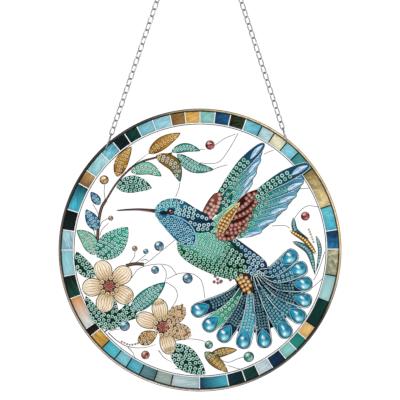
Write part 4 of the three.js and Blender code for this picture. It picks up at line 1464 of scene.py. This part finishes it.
# ---------------------------------------------------------------- rim
TILES = [
    # first angle, colour at its start and end (counter-clockwise), strength of its clouds
    (-10.9, "8f9278", "b0ae90", 1.1), (0.4, "2a6f9c", "0e2f50", 0.8), (8.5, "4cb0c8", "64c0cc", 0.3),
    (18.9, "dcc894", "8c7448", 0.6), (36, "4a9498", "3f8a8c", 0.2), (44.7, "7cc0d0", "84c8d6", 0.25),
    (51.1, "e0dcc0", "d8d4b4", 0.35), (57.5, "b8d4d6", "a8ccd2", 0.3), (63.4, "5fb0c2", "74bcc8", 0.3),
    (70.5, "2f3a22", "1c2018", 1.2), (77.2, "1c5680", "123c60", 0.8), (83.7, "8cc4bc", "7cb8b0", 0.4),
    (90, "d8ac60", "c89c48", 0.5), (96.3, "98703c", "7c5a30", 0.7), (102.6, "9cccd6", "88c0ce", 0.35),
    (110.1, "84bcc8", "70b0c0", 0.35), (117.1, "0f4034", "0a2420", 1.0), (123, "0a1418", "0c1c20", 0.8),
    (128.9, "5aa8bc", "7cc0cc", 0.9), (135.6, "a8d4d8", "8cc4cc", 0.4), (144.9, "c09860", "7c5a34", 0.6),
    (151.2, "0e3c44", "4ab8cc", 0.6), (162.9, "0a1012", "10201f", 0.9), (171.6, "a8ccd4", "8cbac6", 0.9),
    (180, "8cc8d0", "9cd0d6", 0.25), (190.9, "0c1212", "1a4436", 1.2), (200.6, "d89450", "d4dedc", 0.25),
    (214.6, "120f0c", "241c14", 0.8), (218.2, "d8a850", "b88a38", 0.8), (225, "4ab0c0", "58b8c6", 0.3),
    (231.9, "74bccc", "84c6d2", 0.3), (237.8, "4aa4b8", "60b4c4", 0.3), (244, "5c868c", "4c767c", 0.6),
    (250.6, "94a8a4", "a4b0a4", 0.4), (257.8, "bccccc", "a8c0c4", 0.45), (269.8, "0f3050", "4aaec0", 0.6),
    (282, "0f2c38", "0c2228", 0.7), (289.2, "12443a", "0c2f28", 1.3), (295.5, "ccd8de", "b8ccd6", 0.35),
    (301.7, "12304f", "0c2440", 1.0), (308.3, "80c0bc", "8cccc8", 0.35), (314.1, "2a8a7c", "227a70", 0.3),
    (320, "dcae64", "e4c080", 0.4), (326.2, "0c2c28", "0f3c34", 1.2), (337.9, "a8d0ce", "98c4c8", 0.3),
]
DARK_JOINTS = (18.9, 36, 44.7, 51.1, 57.5, 63.4, 225, 231.9, 237.8, 244, 250.6, 257.8, 326.2, 337.9, -10.9)
TILE_JOINT = 0.62
TILE_EDGE = 0.3
TILE_STEP = 2.2
JOINT_HEIGHT = 0.52
PATTERN_SHIFT = 23.7
CLOUD_SCALE = 1.35


def lay_tile(pile, first, last, ends, strength, index):
    """One glass tile between two angles, its edges eased and darkened as painted shade."""
    inner, outer = PICTURE_RADIUS + 0.15, PANEL_RADIUS - 0.45
    half_joint = math.degrees(TILE_JOINT / 2 / ((inner + outer) / 2))
    first, last = first + half_joint, last - half_joint
    edge = math.degrees(TILE_EDGE / outer)
    steps = max(3, math.ceil((last - first) / TILE_STEP))
    angles = [first, first + edge] + [first + (last - first) * k / steps for k in range(1, steps)]
    angles += [last - edge, last]
    radii = [inner, inner + TILE_EDGE, (inner + outer) / 2, outer - TILE_EDGE, outer]
    points, tints, runs = [], [], []
    for a, angle in enumerate(angles):
        for r, radius in enumerate(radii):
            rim = a in (0, len(angles) - 1) or r in (0, len(radii) - 1)
            near_rim = a in (1, len(angles) - 2) or r in (1, len(radii) - 2)
            x, z = polar(radius, angle)
            points.append((x, z, TILE_HEIGHT * (0.62 if rim else 0.97)))
            tint = mix(*ends, (angle - first) / (last - first))
            # Painted shade: darkest on the tile's edge, lighter on the ring just inside it.
            tints.append(mix(tint, INK, 0.88 if rim else 0.2 if near_rim else 0))
            along_rim = math.radians(angle) * radius + PATTERN_SHIFT * index
            runs.append((along_rim, radius, strength * CLOUD_SCALE))
    lay_sheet(pile, points, tints, runs, len(radii))


def build_rim():
    """The tiles, and under them the joints with a line along each edge of the band."""
    tiles, bed = Pile(), Pile()
    for index, (first, one, other, strength) in enumerate(TILES):
        last = TILES[(index + 1) % len(TILES)][0]
        last = last + 360 if last < first else last
        lay_tile(tiles, first, last, (paint(one), paint(other)), strength, index)
        joint = [polar(radius, first) for radius in (PICTURE_RADIUS, PANEL_RADIUS - 0.2)]
        lay_line(bed, joint, TILE_JOINT, 0, JOINT_HEIGHT, INK if first in DARK_JOINTS else WHITE)
    for radius, width, tint in ((PANEL_RADIUS - 0.22, 0.42, INK), (PICTURE_RADIUS - 0.05, 0.3, WHITE)):
        lay_line(bed, circle(radius, 180), width, 0, 0.6, tint, closed=True)
    finish_piece("rim_tiles", "rim_glass", tiles, glass_tile, "tile_band")
    finish_piece("rim_joints", "rim_glass", bed, film)


# ---------------------------------------------------------------- panel, hoop, rings and chains
HOLE_ANGLES = {"left": 133.4, "right": 50.1}
HOLE_RADIUS = 0.79
HOLE_EDGE = 0.4
ROD_REACH = 4
PANEL_STEPS = 144
PANEL_PLAY = 0.06
EDGE_ROUND = 0.25


def solid_stack(name, loops):
    """A closed solid between loops of points, given from the front to the back."""
    faces = [face[::-1] for face in loft(len(loops), len(loops[0]))]
    return hold(plain_mesh(name, [point for loop in loops for point in loop], faces))


def build_panel():
    """A clear disc with rounded edges; its holes are cut by small rods."""
    outer = PANEL_RADIUS - PANEL_PLAY
    levels = [(outer - EDGE_ROUND, 0), (outer, -EDGE_ROUND), (outer, EDGE_ROUND - PANEL_THICK),
              (outer - EDGE_ROUND, -PANEL_THICK)]
    blank = solid_stack("clear_panel", [[place(*spot, height) for spot in circle(radius, PANEL_STEPS)]
                                        for radius, height in levels])
    rods = []
    for side, angle in HOLE_ANGLES.items():
        hole = polar(PANEL_RADIUS - HOLE_EDGE - HOLE_RADIUS, angle)
        round_hole = [polar(HOLE_RADIUS, 30 * k, hole) for k in range(12)]
        rods.append(solid_stack("rod_" + side, [[place(*spot, height) for spot in round_hole]
                                                for height in (ROD_REACH, -ROD_REACH - PANEL_THICK)]))
        cut = blank.modifiers.new("hole_" + side, "BOOLEAN")
        cut.operation = "DIFFERENCE"
        cut.solver = "EXACT"
        cut.object = rods[-1]
    drilled = plain_result(blank)
    drilled.name = "clear_panel"
    for used in rods + [blank]:
        bpy.data.objects.remove(used)
    drilled.materials.clear()
    drilled.materials.append(acrylic)
    settle(drilled, "clear_acrylic", "panel")


def painted(*pairs):
    """Stops round the disc, from pairs of angle and hex code."""
    return [(angle, paint(code)) for angle, code in pairs]


# Colours round the hoop by angle are painted reflection: the metal bright at the upper right, dark at the
# upper left and lower right, and the groove pale or dark with it.
HOOP_GROOVES = painted(
    (0, "e6d6b0"), (60, "e6d6b0"), (96, "a8977c"), (112, "3a3630"), (150, "2f2c2a"), (175, "7c6c60"),
    (205, "c8b8a8"), (240, "dcd4c8"), (275, "dcd4c8"), (298, "5c5650"), (332, "3c3830"),
    (346, "e0d4b8"), (360, "e6d6b0"))
HOOP_METAL = painted(
    (0, "b08a4c"), (55, "a8844c"), (96, "5c4a34"), (112, "1c1a1a"), (150, "1c1a1a"), (205, "5c483c"),
    (240, "70645c"), (275, "5c544e"), (332, "181412"), (346, "8c6c40"), (360, "b08a4c"))
HOOP_STEPS = 192


def build_hoop():
    """A came of brass: two fine beads with a groove between them, over a plain edge.

    The brass's colour round the hoop is painted reflection: warm at the upper right and dark bronze at the
    upper left and lower right.
    """
    inner, outer = PANEL_RADIUS + 0.02, DISC_RADIUS
    front, back = HOOP_FRONT, -PANEL_THICK - HOOP_BACK
    profile = [
        # radius, height, share of the groove's colour
        (inner, back + 0.2, 0), (inner + 0.3, back, 0), (outer - 0.4, back, 0), (outer, back + 0.4, 0),
        (outer, front - 0.45, 0), (outer - 0.12, front - 0.08, 0), (outer - 0.28, front, 0),
        (outer - 0.42, front - 0.12, 0.2), (outer - 0.5, front - 0.3, 1), (inner + 0.5, front - 0.3, 1),
        (inner + 0.42, front - 0.15, 0.2), (inner + 0.25, front - 0.02, 0), (inner + 0.1, front - 0.15, 0),
        (inner, front - 0.5, 0),
    ]
    points, tints = [], []
    for k in range(HOOP_STEPS):
        angle = 360 * k / HOOP_STEPS
        metal, groove = shade(HOOP_METAL, angle), shade(HOOP_GROOVES, angle)
        for radius, height, groove_share in profile:
            points.append(place(*polar(radius, angle), height))
            tints.append(mix(metal, groove, groove_share))
    faces = stitch(HOOP_STEPS, len(profile), round_again=True)
    mesh = plain_mesh("brass_hoop", points, faces, brass, smooth=True)
    write_colours(mesh, "tint", tints)
    settle(mesh, "brass_hoop", "hoop")


def wire_ring(name, centre, radius, wire, axes, steps=48, sides=12):
    """A ring of round wire in the plane of two axes."""
    one, other = (Vector(axis) for axis in axes)
    third = one.cross(other)
    points = []
    for k in range(steps):
        angle = 2 * math.pi * k / steps
        out = one * math.cos(angle) + other * math.sin(angle)
        for i in range(sides):
            across, up = polar(wire / 2, 360 * i / sides)
            points.append(centre + out * (radius + across) * MM + third * up * MM)
    faces = stitch(steps, sides, round_again=True, flip=True)
    return plain_mesh(name, points, faces, silver, smooth=True)


HANGING_RING_WIRE = 1.6
JUMP_RING_RADIUS = 6.4
JUMP_RING_WIRE = 0.9
LINK_LENGTH = 6.85
LINK_WIDTH = 4.6
LINK_WIRE = 0.9
LINK_PITCH = LINK_LENGTH - 2 * LINK_WIRE + 0.16
LINK_COUNTS = {"left": 36, "right": 35}
FIRST_LINK_GAP = 0.3


def link_shape(sides=6, bends=8):
    """One oval link, its length along Z and its face across X."""
    bow = (LINK_WIDTH - LINK_WIRE) / 2
    straight = (LINK_LENGTH - LINK_WIRE) / 2 - bow
    path = []
    for end in (1, -1):
        for k in range(bends + 1):
            across, up = polar(bow, 180 * k / bends)
            path.append((end * across, end * (straight + up)))
    points = []
    for k, (x, z) in enumerate(path):
        ahead, behind = path[(k + 1) % len(path)], path[k - 1]
        run = math.hypot(ahead[0] - behind[0], ahead[1] - behind[1])
        out = ((ahead[1] - behind[1]) / run, (behind[0] - ahead[0]) / run)
        for i in range(sides):
            wide, deep = polar(LINK_WIRE / 2, 360 * i / sides)
            points.append(((x + out[0] * wide) * MM, deep * MM, (z + out[1] * wide) * MM))
    faces = stitch(len(path), sides, round_again=True)
    return hold(plain_mesh("link", points, faces, smooth=True))


def build_chains():
    """Each side runs from its hole to the hanging ring's centre."""
    ring_low, ring_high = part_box("hanging_ring")
    ring_centre = (ring_low + ring_high) / 2
    across = min(ring_high.x - ring_low.x, ring_high.z - ring_low.z) / MM
    ring = wire_ring("hanging_ring_wire", ring_centre, (across - HANGING_RING_WIRE) / 2,
                     HANGING_RING_WIRE, ((1, 0, 0), (0, 0, 1)), steps=64)
    settle(ring, "silver_wire", "hanging_ring")
    shape = link_shape()
    for side, count in LINK_COUNTS.items():
        low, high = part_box("jump_ring_" + side)
        eye = (low + high) / 2
        pull = Vector((ring_centre.x - eye.x, 0, ring_centre.z - eye.z)).normalized()
        ring = wire_ring("jump_ring_wire_" + side, eye, JUMP_RING_RADIUS, JUMP_RING_WIRE,
                         ((0, 1, 0), pull))
        settle(ring, "silver_wire", "jump_ring_" + side)
        lean = Matrix.Rotation(math.atan2(pull.x, pull.z), 3, "Y")
        start = JUMP_RING_RADIUS - JUMP_RING_WIRE / 2 - LINK_WIRE - FIRST_LINK_GAP + LINK_LENGTH / 2
        spots = []
        for k in range(count):
            turn = Matrix.Rotation((-1 if k % 2 else 1) * math.pi / 4, 3, "Z")
            aim = tuple((lean @ turn).to_euler("XYZ"))
            where = eye + pull * (start + k * LINK_PITCH) * MM
            spots.append((tuple(where), 1.0, aim, WHITE, WHITE))
        base = bpy.data.meshes.new("chain_links_" + side)
        settle(with_copies(base, spots, shape, silver), "silver_wire", "chain_" + side)
    bpy.data.objects.remove(shape)


# ---------------------------------------------------------------- stage, light and camera
VIEW_WIDTH = 0.2828
VIEW_RISE = 0.03535
CAMERA_AWAY = 1.5
SENSOR_WIDTH = 36
FAR_CLIP = 20
FLOOR_DROP = 0.13
FLOOR_REACH = 0.8
SEEN_WHITE = 1.06
SOFTBOXES = [
    # name, place from the disc's centre, width, power
    ("key_light", (-0.45, -0.9, 0.6), 0.5, 6.0),
    ("fill_light", (0.7, -0.8, 0.1), 0.6, 2.4),
    ("glint_light", (0.25, -0.9, 0.7), 0.08, 2.0),
]


def build_stage():
    z = cad_box[0][2] - FLOOR_DROP
    reach = FLOOR_REACH
    corners = [(-reach, -reach, z), (reach, -reach, z), (reach, reach, z), (-reach, reach, z)]
    pale = new_material("pale_floor", Base_Color=(0.86, 0.86, 0.86, 1), Roughness=0.7)[0]
    hold(plain_mesh("floor", corners, [[0, 1, 2, 3]], pale))


def build_world():
    """White behind the object; its light is soft, from the front and from straight behind."""
    world = bpy.data.worlds.new("studio")
    bpy.context.scene.world = world
    world.use_nodes = True
    tree = world.node_tree
    back = tree.nodes["Background"]
    depth = parts_of(tree, node(tree, "ShaderNodeTexCoord").outputs["Generated"])["Y"]
    front = remap(tree, depth, from_min=-1.0, from_max=0.4, to_min=0.42, to_max=0.12)
    behind = remap(tree, depth, from_min=0.45, to_min=0.0, to_max=1.0)
    light = calculate(tree, "MAXIMUM", front, behind)
    path = node(tree, "ShaderNodeLightPath").outputs
    seen = calculate(tree, "MAXIMUM", path["Is Camera Ray"], path["Is Transmission Ray"])
    sockets = {"Factor": seen, "A": light, "B": SEEN_WHITE}
    level = node(tree, "ShaderNodeMix", sockets, data_type="FLOAT").outputs["Result"]
    feed(tree, back.inputs["Strength"], level)
    feed(tree, back.inputs["Color"], (1, 1, 1, 1))


def stand(name, data, where):
    """A lamp or camera of the scene, at its place."""
    made = bpy.data.objects.new(name, data)
    bpy.context.scene.collection.objects.link(made)
    made.location = where
    return made


def softbox(name, where, size, power):
    lamp = bpy.data.lights.new(name, "AREA")
    lamp.size = size
    lamp.energy = power
    made = stand(name, lamp, CENTRE + Vector(where))
    made.rotation_euler = (-Vector(where)).to_track_quat("-Z", "Y").to_euler()


def build_camera():
    camera = bpy.data.cameras.new("camera")
    camera.sensor_width = SENSOR_WIDTH
    camera.lens = SENSOR_WIDTH * CAMERA_AWAY / VIEW_WIDTH
    camera.clip_end = FAR_CLIP
    made = stand("camera", camera, (CENTRE.x, FACE_Y - CAMERA_AWAY, CENTRE.z + VIEW_RISE))
    made.rotation_euler = (math.radians(90), 0, 0)
    bpy.context.scene.camera = made


build_panel()
build_hoop()
build_rim()
build_beak()
build_eye()
build_head()
build_coverts()
build_body()
build_wings()
build_tail()
build_blossom("blossom_left", (-64.3, -25.5), 112, -72, 19, 6.4, {2: 0.8, 3: 0.92})
build_blossom("blossom_right", (-26.2, -54.4), 158, -58, 20, 5.6, {1: 0.8, 2: 0.3, 3: 0.3, 4: 0.75})
build_leaves()
build_right_sprig()
build_berries()
build_stems()
build_small_beads()
build_chains()
bpy.data.objects.remove(stone)

build_stage()
build_world()
for box in SOFTBOXES:
    softbox(*box)
build_camera()
bpy.context.scene.view_settings.view_transform = "Standard"
